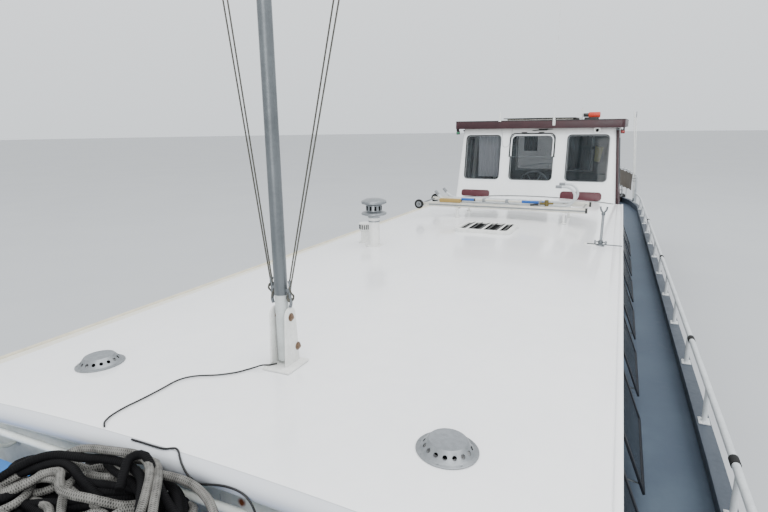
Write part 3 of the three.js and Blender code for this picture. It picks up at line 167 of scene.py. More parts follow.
# What a paint or metal looks like. In order: colour as seen, worn colour, patches per metre, share of dirt,
# roughness from and to, depth and size of its grain, unevenness of plating, other settings
looks = {
    "roofWhite": ("f2f3f4", "dfe2e5", 0.9, 0.5, (0.1, 0.24), 0.03, 90, 0.25, {"coat": 0.35, "coatRough": 0.06}),
    "houseWhite": ("eceeee", "cdd0d0", 1.6, 0.5, (0.2, 0.34), 0.04, 120, 0.15, {"coat": 0.25, "coatRough": 0.1}),
    "lipCream": ("d9d7ca", "b9b7aa", 5, 0.6, (0.4, 0.55), 0.08, 200),
    "wallWhite": ("e3e6df", "b9bdb4", 2.2, 0.7, (0.35, 0.5), 0.05, 160, 0.1),
    "fittingWhite": ("dedfdc", "a9aaa5", 14, 0.55, (0.32, 0.5), 0.06, 220),
    "railWhite": ("c0c4c6", "8d9396", 9, 0.6, (0.28, 0.45), 0.05, 240),
    "deckBlue": ("3b4857", "4f5c68", 1.8, 0.9, (0.55, 0.8), 0.35, 420, 0, {"specular": 0.35}),
    "capBlue": ("38414c", "2d353e", 3, 0.8, (0.45, 0.65), 0.2, 300, 0.1),
    "hullNavy": ("141e2e", "2b3743", 0.8, 0.8, (0.25, 0.45), 0.06, 120, 0.35, {"coat": 0.2}),
    "maroon": ("28060f", "3d151c", 4, 0.7, (0.3, 0.48), 0.05, 160),
    "rubber": ("0f1011", "2c2c2a", 6, 0.8, (0.65, 0.85), 0.25, 260, 0, {"specular": 0.3}),
    "blackPaint": ("0c0d0e", "2b2a28", 7, 0.7, (0.35, 0.6), 0.12, 300),
    "steel": ("8c9093", "686b6e", 30, 0.6, (0.3, 0.5), 0.1, 500, 0, {"metal": 0.85}),
    "mastGrey": ("6a6f72", "4b5053", 6, 0.7, (0.32, 0.46), 0.05, 300, 0, {"metal": 0.55}),
    "alloy": ("c9c7bd", "9c9a90", 12, 0.6, (0.35, 0.55), 0.1, 400, 0, {"metal": 0.25}),
    "bronze": ("a9813f", "6d5a34", 8, 0.8, (0.3, 0.55), 0.08, 200, 0, {"metal": 0.9}),
    "engineGreen": ("3a5443", "2a332c", 5, 0.8, (0.4, 0.6), 0.1, 200),
    "vinyl": ("3a3b3e", "4c4d50", 9, 0.5, (0.45, 0.6), 0.3, 600),
    "lockerBlue": ("1f66b0", "4a83ba", 3, 0.7, (0.4, 0.6), 0.1, 200, 0.1),
    "cableBlack": ("0b0b0c", "1f2021", 20, 0.4, (0.45, 0.6), 0.08, 400),
    "darkPanel": ("090c10", "1b2126", 3, 0.5, (0.15, 0.3), 0.03, 100, 0.1, {"coat": 0.3}),
    # holeShade: painted shade, a dark colour put where holes, slots and gaps would show only shade
    "holeShade": ("0e0f10", "1d1e20", 30, 0.5, (0.7, 0.9), 0.1, 400, 0, {"specular": 0.1}),
    "gripBlue": ("0a4a96", "2d6ea6", 18, 0.5, (0.5, 0.7), 0.2, 300),
    "blockYellow": ("94793a", "766a42", 16, 0.6, (0.5, 0.7), 0.15, 200),
    "orangeRed": ("b22c14", "bd5434", 12, 0.4, (0.4, 0.6), 0.05, 200),
    "knobGrey": ("7d8184", "5c6063", 18, 0.5, (0.45, 0.6), 0.1, 300),
    "beadCream": ("cfc9b4", "a9a48f", 7, 0.7, (0.45, 0.6), 0.1, 240),
    "boltBrown": ("6e5a4c", "8d7a66", 40, 0.8, (0.45, 0.65), 0.2, 600, 0, {"metal": 0.6}),
    "paleMastReflection": ("b4b9b8", "8b8f8c", 12, 0.6, (0.4, 0.55), 0.06, 300),
    "cleatGrey": ("6f7477", "50555a", 30, 0.6, (0.4, 0.6), 0.1, 500, 0, {"metal": 0.4}),
    "lineGrey": ("55544e", "37362f", 60, 0.7, (0.75, 0.9), 0.5, 900, 0, {"specular": 0.2}),
    "steelFlat": ("8d9195", "75797c", 40, 0.7, (0.42, 0.55), 0.15, 700, 0, {"metal": 0.8}),
    "steelDark": ("6c7174", "4e5255", 30, 0.7, (0.4, 0.6), 0.15, 500, 0, {"metal": 0.7}),
    "frameWhite": ("e4e7e8", "c3c8c9", 8, 0.5, (0.25, 0.4), 0.04, 200),
    "maroonDark": ("3d1a22", "55343a", 5, 0.6, (0.4, 0.6), 0.08, 200),
    "plateMaroon": ("430a17", "5a2a34", 14, 0.5, (0.3, 0.45), 0.05, 300),
    "cableGrey": ("8b8f90", "6c7071", 40, 0.5, (0.5, 0.65), 0.08, 500),
    "lampRed": ("8c1e1a", "6d2a26", 30, 0.4, (0.1, 0.2), 0.05, 300, 0, {"coat": 0.5}),
    "lampGreen": ("0f6b46", "24573f", 30, 0.4, (0.1, 0.2), 0.05, 300, 0, {"coat": 0.5}),
    "alloyDark": ("84888a", "5f6365", 14, 0.7, (0.45, 0.6), 0.15, 400, 0, {"metal": 0.6}),
    "bronzeOld": ("6f6238", "45412c", 30, 0.8, (0.45, 0.65), 0.2, 500, 0, {"metal": 0.7}),
    "wallPale": ("eef1ea", "b9beb3", 3, 0.75, (0.35, 0.5), 0.05, 160, 0.1),
    "hopperFrame": ("0d1119", "1a2029", 6, 0.6, (0.45, 0.65), 0.08, 240, 0, {"specular": 0.3}),
    "hopperGlass": ("030404", "0c0e10", 4, 0.5, (0.12, 0.25), 0.01, 60, 0, {"specular": 0.25}),
    "panelDark": ("2c1c15", "1e1410", 5, 0.6, (0.4, 0.55), 0.1, 300),
    "dialWhite": ("d5d6d0", "b5b6b0", 40, 0.3, (0.3, 0.4), 0.02, 300),
    "welt": ("1d1e20", "2a2b2d", 20, 0.4, (0.5, 0.65), 0.1, 400),
}


def makeLook(name, colour, worn, patch, dirt, rough, grain, grainSize, wave=0.0, settings=None):
    finish = Finish(name, **(settings or {}))
    cloud = finish.noise(patch, 6.0, 0.6)
    speck = finish.noise(patch * 9, 5.0, 0.65)
    share = finish.ramp(cloud * 0.65 + speck * 0.35, 0.42, 0.72) * dirt
    finish.feed("Base Color", finish.mix(share, rgb(colour), rgb(worn)))
    low, high = rough
    finish.feed("Roughness", low + finish.ramp(speck * 0.5 + cloud * 0.5, 0.3, 0.7) * (high - low))
    normal = finish.bump(finish.noise(grainSize, 2.0, 0.5), grain, 0.001)
    if wave:  # plating that isn't quite flat
        normal = finish.bump(finish.noise(1.3, 1.0, 0.4), wave, 0.012, under=normal)
    finish.feed("Normal", normal)
    return finish


paints = {name: makeLook(name, *look) for name, look in looks.items()}


def tinted(name, share, colour):  # a paint with a second colour laid over it, by share
    finish = paints[name]
    base = Signal(finish, finish.shader.inputs["Base Color"].links[0].from_socket)
    finish.feed("Base Color", finish.mix(share, base, rgb(colour)))


white = paints["roofWhite"]  # the front roll gets painted shade: it is greyer where it curves down, with a thin darker line where it starts
along = white.axis("X")
tinted("roofWhite", white.ramp(along, 5.428, 5.433) * 0.9, "c3c7cd")
tinted("roofWhite", white.ramp(along, 5.4295, 5.431) * white.ramp(along, 5.4345, 5.4325) * 0.5, "8f9394")
eavesShade = paints["houseWhite"]  # painted shade under the eaves: the house white darkens from 3.60 m up towards the fascia
tinted("houseWhite", eavesShade.ramp(eavesShade.axis("Z") + eavesShade.noise(7.0) * 0.05, 3.60, 3.75) * 0.75, "8d867f")
print("stage: paints mixed")

# Windows: dark, see-through glass that mirrors more at a low angle
def makeGlass(name, colour, clear):
    finish = Finish(name, rough=0.03, specular=0.6)
    smear = finish.noise(6.0, 3.0, 0.5)
    finish.feed("Base Color", finish.mix(finish.ramp(smear, 0.4, 0.75), rgb(colour), rgb("3c464b")))
    graze = finish.node("LayerWeight", {}, {"Blend": 0.35}, take="Facing")
    finish.feed("Alpha", finish.ramp(graze, -clear, 1.0) + finish.ramp(smear, 0.5, 0.9) * 0.08)
    return finish


paints["glass"] = makeGlass("windowGlass", "20282c", 0.35)
paints["smokedGlass"] = makeGlass("smokedGlass", "161b1e", 0.9)

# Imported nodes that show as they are
nodePaints = {
    "wallWhite": ["cabin_bulkhead"], "vinyl": ["wheelhouse_floor"],
    "glass": ["front_pane_starboard", "front_pane_middle", "front_pane_port"],
    "smokedGlass": ["side_pane_port", "side_pane_starboard", "back_pane", "door_pane_port", "door_pane_starboard"],
}
for paint, names in nodePaints.items():
    for name in names:
        nodes[name].data.materials.clear()
        nodes[name].data.materials.append(paints[paint].material)

# Shapes: each makes a closed bmesh, which a Piece takes in
def around(count, start=0.0):  # angles evenly spread round a circle
    return [start + 2 * pi * k / count for k in range(count)]


def meshOf(name, part):
    mesh = bpy.data.meshes.new(name)
    part.to_mesh(mesh)
    part.free()
    return mesh


def curveOf(name, points, radius, sides, closed=False):
    curve = bpy.data.curves.new(name, "CURVE")
    curve.dimensions = "3D"
    curve.bevel_depth = radius
    curve.bevel_resolution = (sides - 4) // 2
    curve.use_fill_caps = not closed
    spline = curve.splines.new("POLY")
    spline.points.add(len(points) - 1)
    spline.use_cyclic_u = closed
    for spot, place in zip(spline.points, points):
        spot.co = (*place, 1)
    return curve


def soften(part, edges, offset, steps=2, clamp=False):
    bmesh.ops.bevel(part, geom=edges, offset=offset, segments=steps, profile=0.5, affect="EDGES", material=-1,
        clamp_overlap=clamp)


def boxed(low, high, edge=0.0):
    part = bmesh.new()
    bmesh.ops.create_cube(part, size=1)
    bmesh.ops.scale(part, vec=[b - a for a, b in zip(low, high)], verts=part.verts)
    bmesh.ops.translate(part, vec=[(a + b) / 2 for a, b in zip(low, high)], verts=part.verts)
    if edge:
        soften(part, part.edges[:], edge)
    return part


def aimed(a, b):  # +Z along a to b, with the middle between them
    a, b = Vector(a), Vector(b)
    return Matrix.Translation((a + b) / 2) @ (b - a).to_track_quat("Z", "Y").to_matrix().to_4x4()


def rod(a, b, radius, radiusB=None, sides=24, edge=0.0):
    part = bmesh.new()
    bmesh.ops.create_cone(part, cap_ends=True, segments=sides, radius1=radius,
        radius2=radius if radiusB is None else radiusB, depth=(Vector(b) - Vector(a)).length)
    if edge:
        soften(part, [e for e in part.edges if any(len(f.verts) > 4 for f in e.link_faces)], edge)
    bmesh.ops.transform(part, matrix=aimed(a, b), verts=part.verts)
    return part


def turned(profile, centre=(0, 0, 0), axis=(0, 0, 1), steps=48):  # (radius, height) pairs spun round an axis
    part = bmesh.new()
    chain = [part.verts.new((r, 0, z)) for r, z in profile]
    edges = [part.edges.new(pair) for pair in zip(chain, chain[1:])]
    bmesh.ops.spin(part, geom=chain + edges, cent=(0, 0, 0), axis=(0, 0, 1), dvec=(0, 0, 0), angle=2 * pi,
        steps=steps, use_merge=True, use_duplicate=False)
    turn = Vector(axis).to_track_quat("Z", "Y").to_matrix().to_4x4()
    bmesh.ops.transform(part, matrix=Matrix.Translation(centre) @ turn, verts=part.verts)
    return part


def smoothed(points, steps=6):  # a soft line through points
    ends = [2 * Vector(points[0]) - Vector(points[1]), *map(Vector, points),
        2 * Vector(points[-1]) - Vector(points[-2])]
    line = []
    for a, b, c, d in zip(ends, ends[1:], ends[2:], ends[3:]):
        for i in range(steps):
            t = i / steps
            line.append(0.5 * (2 * b + (c - a) * t + (2 * a - 5 * b + 4 * c - d) * t ** 2
                + (3 * b - a - 3 * c + d) * t ** 3))
    return line + [ends[-2]]


def pipe(points, radius, sides=12, closed=False):
    curve = curveOf("run", points, radius, sides, closed)
    holder = bpy.data.objects.new("run", curve)
    part = bmesh.new()
    part.from_mesh(holder.to_mesh())
    holder.to_mesh_clear()
    bpy.data.objects.remove(holder)
    bpy.data.curves.remove(curve)
    return part


def plate(width, height, thick, radius, place, edge=0.0, band=None):  # rounded plate or ring, from z 0 to thick
    part = bmesh.new()
    bmesh.ops.create_grid(part, x_segments=1, y_segments=1, size=0.5)
    bmesh.ops.scale(part, vec=(width, height, 1), verts=part.verts)
    bmesh.ops.bevel(part, geom=part.verts[:], offset=radius, segments=6, profile=0.5, affect="VERTICES",
        material=-1)
    if band:
        bmesh.ops.inset_region(part, faces=part.faces[:], thickness=band, use_even_offset=True,
            use_boundary=True)
        middle = max(part.faces, key=lambda f: len(f.verts))
        bmesh.ops.delete(part, geom=[middle], context="FACES")
    bmesh.ops.recalc_face_normals(part, faces=part.faces)
    if part.faces[:][0].normal.z < 0:
        bmesh.ops.reverse_faces(part, faces=part.faces)
    bmesh.ops.solidify(part, geom=part.faces[:], thickness=-thick)
    if edge:
        soften(part, [e for e in part.edges if len(e.link_faces) == 2 and e.calc_face_angle() > 1], edge)
    bmesh.ops.transform(part, matrix=place, verts=part.verts)
    return part


def swept(section, shift, edge=0.0):  # a flat outline of points drawn along a shift
    part = bmesh.new()
    face = part.faces.new([part.verts.new(p) for p in section])
    moved = bmesh.ops.extrude_face_region(part, geom=[face], use_keep_orig=True)["geom"]
    bmesh.ops.translate(part, vec=shift, verts=[v for v in moved if isinstance(v, bmesh.types.BMVert)])
    if edge:
        bmesh.ops.recalc_face_normals(part, faces=part.faces)
        soften(part, part.edges[:], edge)
    return part


def carved(part, cutters):  # part less its cutters
    def held(shape):
        bmesh.ops.remove_doubles(shape, verts=shape.verts, dist=1e-6)
        bmesh.ops.recalc_face_normals(shape, faces=shape.faces)
        return linked("carve", meshOf("carve", shape))

    base = held(part)
    tools = [held(cutter) for cutter in cutters]
    for tool in tools:
        cut = base.modifiers.new("cut", "BOOLEAN")
        cut.operation, cut.solver, cut.object = "DIFFERENCE", "EXACT", tool
    whole = base.evaluated_get(bpy.context.evaluated_depsgraph_get())
    made = bmesh.new()
    made.from_mesh(whole.to_mesh())
    whole.to_mesh_clear()
    for thing in [base, *tools]:
        mesh = thing.data
        bpy.data.objects.remove(thing)
        bpy.data.meshes.remove(mesh)
    return made


class Piece:  # one object of the boat, gathered from shapes in their own finishes
    def __init__(self, name, body="barge", finish=None):  # finish: the one that most of its shapes take
        self.name, self.body, self.finish = name, body, finish
        self.whole = bmesh.new()
        self.finishes = []

    def take(self, part, finish=None, turn=None):
        finish = finish or self.finish
        if turn:
            bmesh.ops.transform(part, matrix=turn, verts=part.verts)
        bmesh.ops.remove_doubles(part, verts=part.verts, dist=1e-6)
        bmesh.ops.recalc_face_normals(part, faces=part.faces)
        if finish not in self.finishes:
            self.finishes.append(finish)
        for face in part.faces:
            face.material_index = self.finishes.index(finish)
            face.smooth = True
        mesh = meshOf("part", part)
        self.whole.from_mesh(mesh)
        bpy.data.meshes.remove(mesh)
        return self

    def done(self, slot, replaces=(), sharp=35):
        mesh = meshOf(self.name, self.whole)
        for finish in self.finishes:
            mesh.materials.append(paints[finish].material)
        mesh.set_sharp_from_angle(angle=radians(sharp))
        made = linked(self.name, mesh)
        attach(made, self.body)
        if replaces:
            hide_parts(*replaces)
        return made


# The coachroof's surface
roof = {"aft": -2.64, "fore": 5.432, "edge": 2.5, "camber": 0.09, "half": 1.62, "halfAt": 4.75, "taper": 0.0248,
    "nose": 0.045, "lowEdge": 2.431, "rows": 40, "rollRows": 12, "columns": 40}


def roofHalf(x):
    return roof["half"] + roof["taper"] * (x - roof["halfAt"])


def roofTop(x, y):
    return roof["edge"] + roof["camber"] * (1 - (y / roofHalf(x)) ** 2)


def roofUp(x, y):  # the way up from the cambered roof
    return Vector((0, 2 * roof["camber"] * y / roofHalf(x) ** 2, 1)).normalized()


def handed(side):  # a shape made for port, on port (1) or starboard (-1)
    return Matrix.Scale(side, 4, (0, 1, 0))


def seatOn(x, y, rise=0.0):  # a place on the roof, leaning with its camber
    slope = 2 * roof["camber"] * y / roofHalf(x) ** 2
    return Matrix.Translation((x, y, roofTop(x, y) + rise)) @ Matrix.Rotation(-atan(slope), 4, "X")

# Black cable from the mast's foot, and the thin wire at the front edge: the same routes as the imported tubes
cableRoutes = {
    "mastCable": {"node": "mast_cable", "points": (
        (4.672, 0.014, 2.6064), (4.700, -0.008, 2.6064), (4.719, -0.042, 2.6064), (4.742, -0.072, 2.5985),
        (4.770, -0.096, 2.595), (4.816, -0.124, 2.595), (4.875, -0.190, 2.595), (4.925, -0.285, 2.5935),
        (4.990, -0.330, 2.5925), (5.098, -0.334, 2.592), (5.193, -0.339, 2.592), (5.281, -0.347, 2.592),
        (5.349, -0.342, 2.592), (5.396, -0.322, 2.5925), (5.422, -0.292, 2.593))},
    "frontWire": {"node": "front_wire", "points": (
        (5.4445, -0.115, 2.5913), (5.4445, -0.060, 2.5916), (5.445, 0.0, 2.5916), (5.443, 0.052, 2.5924),
        (5.431, 0.079, 2.5944), (5.427, 0.096, 2.5946), (5.436, 0.116, 2.5932), (5.452, 0.136, 2.5884),
        (5.468, 0.159, 2.576), (5.478, 0.183, 2.558), (5.480, 0.206, 2.537), (5.474, 0.228, 2.518),
        (5.478, 0.267, 2.526), (5.4803, 0.330, 2.543), (5.480, 0.378, 2.5485), (5.480, 0.421, 2.546),
        (5.4806, 0.455, 2.534), (5.482, 0.480, 2.508), (5.484, 0.497, 2.466), (5.484, 0.508, 2.415),
        (5.482, 0.514, 2.366), (5.470, 0.520, 2.318), (5.440, 0.526, 2.284), (5.400, 0.528, 2.270),
        (5.361, 0.528, 2.270))},
}


cableWidth = 0.008


def curveLength(points):
    return sum((Vector(b) - Vector(a)).length for a, b in zip(points, points[1:]))


def layCord(name, data, points, diameter, finish, slot, node, **kind):
    data.materials.append(paints[finish].material)
    cord = linked(name, data)
    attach(cord, "barge")
    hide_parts(node)
    tuple(points[0])
    curveLength(points)


for name, route in cableRoutes.items():
    points = smoothed(route["points"], 4)
    layCord(name, curveOf(name, points, cableWidth / 2, 16), points, cableWidth, "cableBlack", "cable_sheath",
        route["node"], far_end="object", stiffness="medium", lay="loose")
print("stage: cords laid")

# Two ropes heaped on the locker: base turns made by a loop, then the strands on top, as a start and the
# steps from each point to the next in millimetres
ropes = {
    "black": {"node": "rope_black", "finish": "ropeBlack", "radius": 0.0165, "start": (5919, -165, 2422), "steps": (
        42,-38,-7, -7,-58,-1, -44,-39,2, -58,6,7, -44,37,15, -36,44,19, -37,46,11, -36,48,2, -30,52,0,
        -21,56,-6, -14,55,-16, -13,56,-19, -17,57,-10, -28,52,-4, -51,25,1, -26,-49,9, 11,-56,15,
        37,-42,22, 43,-37,17, 35,-49,6, 25,-54,1, 28,-53,0, 33,-50,0, 21,-56,-4, 11,-57,-13, 4,-57,-20,
        -13,-56,-13, -47,-33,-5, -48,29,-1, 8,57,0, 53,23,0, 48,-32,0, -8,-56,1, -54,-13,6, -39,41,13,
        -8,57,18, 4,56,20, 4,59,11, -1,60,2, -10,59,0, -20,56,0, -30,51,-6, -35,47,-15, -31,47,-19,
        -13,57,-11, 32,47,-4, 55,-14,-1, 9,-56,0, -42,-41,0, -56,-5,0, -8,59,0, 22,35,11, 34,-46,17,
        18,-54,20, 12,-56,17, 15,-58,5, 16,-58,1, 13,-58,0, 4,-60,-1, -4,-59,-8, -7,-57,-19, 0,-57,-17,
        29,-50,-8, 56,-3,-3, 36,47,0, 12,58,0, 5,60,0, 4,60,0, 5,60,0, 4,60,0, 4,59,0, 5,60,0, 1,60,0,
        -12,58,2, -45,35,9, -53,-16,17, -37,-43,20, -28,-49,20, -21,-55,10, -11,-59,2, -13,-58,-1,
        -21,-56,-6, -23,-52,-17, -15,-54,-23, 3,-55,-23, 39,-35,-20, 48,29,-5, -3,58,0, -36,47,1,
        -36,48,1, -18,57,3, -2,59,11, 3,56,20, 15,56,16, 31,50,4, 42,43,0, 45,40,-2, 44,39,-12,
        41,39,-19, 32,48,-15, -3,57,-6, -51,23,-2, -41,-39,0, 14,-56,0, 48,-34,0, 59,0,0, 30,47,0,
        -32,47,3, -58,-4,7, -47,-32,17, -42,-39,19, -40,-43,9, -38,-47,1, -30,-52,0, -18,-57,-4,
        -4,-57,-16, 0,-56,-20, 0,-59,-12, 31,-28,-4, 16,56,0, -29,51,0, -18,-30,0, 0,-60,3, 0,38,26,
        3,57,21, 6,56,19, 14,58,9, 26,54,1, 35,48,0, 41,44,-2, 43,40,-12, 44,36,-19, 51,26,-15,
        57,-10,-6, 21,-53,-2, -18,-57,0, -31,-51,0, -33,-50,1, -33,-51,1, -30,-51,4, -25,-54,6,
        -14,-56,14, -4,-55,24, -6,-55,25, -14,-56,15, -3,-59,2, 17,-57,-10, 22,-52,-20, 18,-53,-20,
        -1,-58,-13, -41,-39,-4, -52,22,-1, -1,57,0, 41,43,0, 53,27,0, 58,16,0, 56,-14,0, 18,-54,3,
        -43,-34,13, -54,15,19, -41,38,22, -33,46,19, -27,53,9, -15,58,1, -13,58,0, -19,57,0, -14,59,0,
        -1,59,0, 12,59,0, 24,55,0, 37,47,0, 42,42,-3, 44,40,-11, 40,40,-19, 31,49,-15, -3,57,-6,
        -52,23,-2, -50,-31,2, -30,-51,6, -23,-54,11, -23,-53,17, -25,-50,22, -25,-49,24, -20,-53,17,
        29,-36,-6, 49,23,-25, 46,30,-25,)},
    "grey": {"node": "rope_grey", "finish": "ropeGrey", "radius": 0.0155, "start": (5710, -349, 2436), "steps": (
        14,54,21, 13,56,19, 13,58,7, 32,49,-9, 47,32,-20, 43,38,-15, 16,56,-7, -42,39,-2, -51,-23,0,
        1,-57,0, 48,-34,0, 59,5,0, 31,48,2, -30,47,10, -57,4,14, -54,-19,20, -54,-16,19, -35,37,4,
        20,54,-13, 33,47,-19, 45,36,-15, 57,1,-5, 26,-50,-2, -37,-43,0, -56,14,0, -35,49,0, -5,59,0,
        41,40,0, 53,-21,2, 2,-56,7, -42,-40,14, -52,-22,19, -57,-9,17, -48,30,-4, -19,53,-19,
        -19,54,-18, -41,40,-11, -54,-15,-6, -8,-58,-1, 28,-52,0, 48,-37,0, 58,-7,0, 36,43,0, -26,50,1,
        -57,-5,3, -29,-50,9, -7,-57,18, 1,-57,17, 7,-60,3, 11,-57,-12, 13,-56,-20, 29,-50,-13,
        54,-18,-5, 39,41,-1, -14,57,0, -38,47,0, -44,41,0, -44,41,0, -43,41,0, -33,12,2, 0,-60,7,
        11,-51,24, 46,-29,26, 28,-51,6, 0,-60,-4, -8,-58,-13, -5,-57,-19, 9,-57,-14, 45,-37,-4, 56,13,0,
        20,53,5, -29,50,12, -45,35,19, -46,35,17, -41,44,2, -31,48,-17, -10,54,-23, 0,59,-8, 16,31,-3,
        35,-49,0, 33,-51,0, 32,-51,0, 25,-54,0, -2,-59,0, -48,-30,3, -48,31,8, -15,56,16, -2,57,19,
        3,58,13, 10,59,0, 25,53,-13, 34,46,-20, 47,34,-13, 57,-7,-5, 17,-54,-1, -37,-45,0, -56,-23,0,
        -57,-18,0, -50,-31,1, -14,-57,3, 28,-51,10, 50,-25,20, 58,-3,16, 53,25,-3, 43,38,-18, 34,46,-17,
        8,58,-8, -43,37,-2, -51,-25,2, -15,-58,6, 1,-59,12, 1,-57,18, 1,-58,16, 12,-58,-1, 25,-52,-17,
        36,-45,-17, 53,-24,-9, 49,29,-2, -9,56,-1, -54,21,0, -58,-16,0, -43,-40,0, -1,-57,0, 52,-24,1,
        41,38,9, -12,55,17, -39,41,19, -43,36,21, -20,53,11, 34,49,1, 33,49,0, 4,60,-1, -16,57,-7,
        -26,51,-19, -33,45,-23, -49,30,-14, -55,-17,-5, -22,-54,-2, -1,-60,0, 5,-60,1, 7,-60,2, 9,-59,6,
        16,-57,14, 21,-53,19, 31,-50,6, 41,-42,-14, 47,-33,-19, 55,-16,-13, 50,28,-7, 19,56,-3, 2,61,0,
        -2,60,0, -2,60,0, -2,60,0, -2,60,0, -2,60,0, -1,61,0, -2,60,0, -2,60,0, -2,60,0, -2,60,0,
        -2,60,0, -4,60,0, -17,57,1, -49,31,4, -58,-10,11, -47,-31,20, -41,-39,21, -31,-49,15, -21,-55,9,
        -11,-59,6, 2,-60,4, 8,-60,1, 8,-59,-8, 7,-59,-9, 0,-60,-5, -20,-55,-3, -38,9,5, -1,60,9,
        3,58,14, 17,56,15, 33,49,8, 41,44,5, 44,41,2, 46,39,-1, 46,39,-6, 44,37,-17, 43,35,-23,
        51,24,-18, 57,-11,-6, 15,-54,-2, -45,-35,0, -57,16,0, -41,44,0, -13,57,0, 37,43,0, 53,-18,1,
        3,-58,6, -34,-46,15, -45,-33,24, -47,-32,19, -49,-34,9, -47,-37,2, -46,-39,1, -41,-44,1,
        -29,-53,2, -7,-59,1, 11,-59,0, 11,-59,-2, 8,-60,-4, 13,-57,-10, 27,-49,-23, 37,-34,-32,
        43,-30,-30,)},
}
heapBase = {"centre": (5.765, -0.06), "low": 2.3765, "rise": 0.031, "layers": 3, "step": 30, "wobble": 0.006,
    "turns": ((0.235, 0.42), (0.20, 0.385), (0.165, 0.35), (0.13, 0.305), (0.095, 0.26))}
braids = {"ropeBlack": {"colour": "020203", "ridge": "0c0c0e", "fleck": "26272a", "fleckAbove": 0.74,
    "pitch": 0.0095, "starts": 1.0, "deep": 0.9, "rough": 0.72}, "ropeGrey": {"colour": "242423",
    "ridge": "7f7e7a", "fleck": "12110f", "fleckAbove": 0.57, "pitch": 0.0085, "starts": 4.0, "deep": 0.8,
    "rough": 0.88},}


def heapTurns(base):
    places = []
    for layer in range(base["layers"]):
        for k, (across, along) in enumerate(base["turns"][::1 if layer % 2 == 0 else -1]):
            for degrees in range(0, 360, base["step"]):
                turn = radians(degrees)
                out = base["wobble"] * (sin(3 * turn + k) + 0.7 * sin(5 * turn + 2 * k + layer))
                places.append((base["centre"][0] + (across + out) * cos(turn),
                    base["centre"][1] + (along + out) * sin(turn), base["low"] + base["rise"] * layer))
    return places


def spaced(points, step):
    reach = [0.0]
    for a, b in zip(points, points[1:]):
        reach.append(reach[-1] + (Vector(b) - Vector(a)).length)
    count = round(reach[-1] / step)
    made, at = [], 0
    for i in range(count + 1):
        want = reach[-1] * i / count
        while at + 2 < len(reach) and reach[at + 1] < want:
            at += 1
        made.append(Vector(points[at]).lerp(Vector(points[at + 1]), (want - reach[at]) / (reach[at + 1]
            - reach[at])))
    return made


def tubeMesh(name, route, radius, sides):  # rings along a route; its UV map holds metres along and turns around
    bm = bmesh.new()
    layer = bm.loops.layers.uv.new("lay")
    across = Vector((0, 0, 1))
    rings = []
    for i, place in enumerate(route):
        ahead = (route[min(i + 1, len(route) - 1)] - route[max(i - 1, 0)]).normalized()
        across = (across - ahead * across.dot(ahead)).normalized()
        beside = ahead.cross(across)
        rings.append([bm.verts.new(place + (across * cos(a) + beside * sin(a)) * radius)
            for a in around(sides)])
    step = (route[1] - route[0]).length
    for i, (one, two) in enumerate(zip(rings, rings[1:])):
        for j in range(sides):
            face = bm.faces.new((one[j], one[(j + 1) % sides], two[(j + 1) % sides], two[j]))
            for loop, (u, v) in zip(face.loops, ((i, j), (i, j + 1), (i + 1, j + 1), (i + 1, j))):
                loop[layer].uv = (u * step, v / sides)
            face.smooth = True
    for ring in (rings[0][::-1], rings[-1]):
        bm.faces.new(ring)
    bmesh.ops.recalc_face_normals(bm, faces=bm.faces)
    return meshOf(name, bm)


def makeBraid(name, colour, ridge, fleck, fleckAbove, pitch, starts, deep, rough):
    finish = Finish(name, specular=0.12)
    lay = finish.node("UVMap", {"uv_map": "lay"})
    along = finish.node("SeparateXYZ", {}, {0: lay}, take="X") * (2 * pi / pitch)
    around = finish.node("SeparateXYZ", {}, {0: lay}, take="Y") * (2 * pi * starts)
    over = finish.node("Math", {"operation": "SINE"}, {0: along + around})
    under = finish.node("Math", {"operation": "SINE"}, {0: along - around})
    strands = finish.ramp(finish.node("Math", {"operation": "MAXIMUM"}, {0: over, 1: under}), -0.6, 1.0)
    fray = finish.noise(900.0, 3.0, 0.7)
    wear = finish.noise(28.0, 4.0, 0.6)
    tone = finish.mix(finish.ramp(strands * 0.45 + wear * 0.9, 0.35, 0.95), rgb(colour), rgb(ridge))
    finish.feed("Base Color", finish.mix(finish.ramp(fray, fleckAbove, fleckAbove + 0.08), tone, rgb(fleck)))
    finish.feed("Roughness", rough + finish.ramp(fray, 0.3, 0.7) * 0.1)
    finish.feed("Normal", finish.bump(strands + fray * 0.35, deep, 0.0016))
    return finish


for name, setting in braids.items():
    paints[name] = makeBraid(name, **setting)
for name, rope in ropes.items():
    stops = [rope["start"]]
    for step in zip(*[iter(rope["steps"])] * 3):
        stops.append([a + b for a, b in zip(stops[-1], step)])
    points = [tuple(c / 1000 for c in stop) for stop in stops]
    if name == "black":
        points = heapTurns(heapBase) + points
    route = spaced(smoothed(points, 6), 0.02)
    name += "Rope"
    layCord(name, tubeMesh(name, route, rope["radius"], 10), route, rope["radius"] * 2, rope["finish"],
        rope["node"], rope["node"], far_end="bare", stiffness="limp", lay="coiled",
        path=[tuple(p) for p in route])
print("stage: ropes heaped")

# Coachroof: one glossy sheet that rolls over at the front, with a skirt and a two-part lip along each side
lip = {"bead": 0.032, "beadTop": 0.017, "groove": 0.006, "band": 0.085, "bandRise": 0.006}


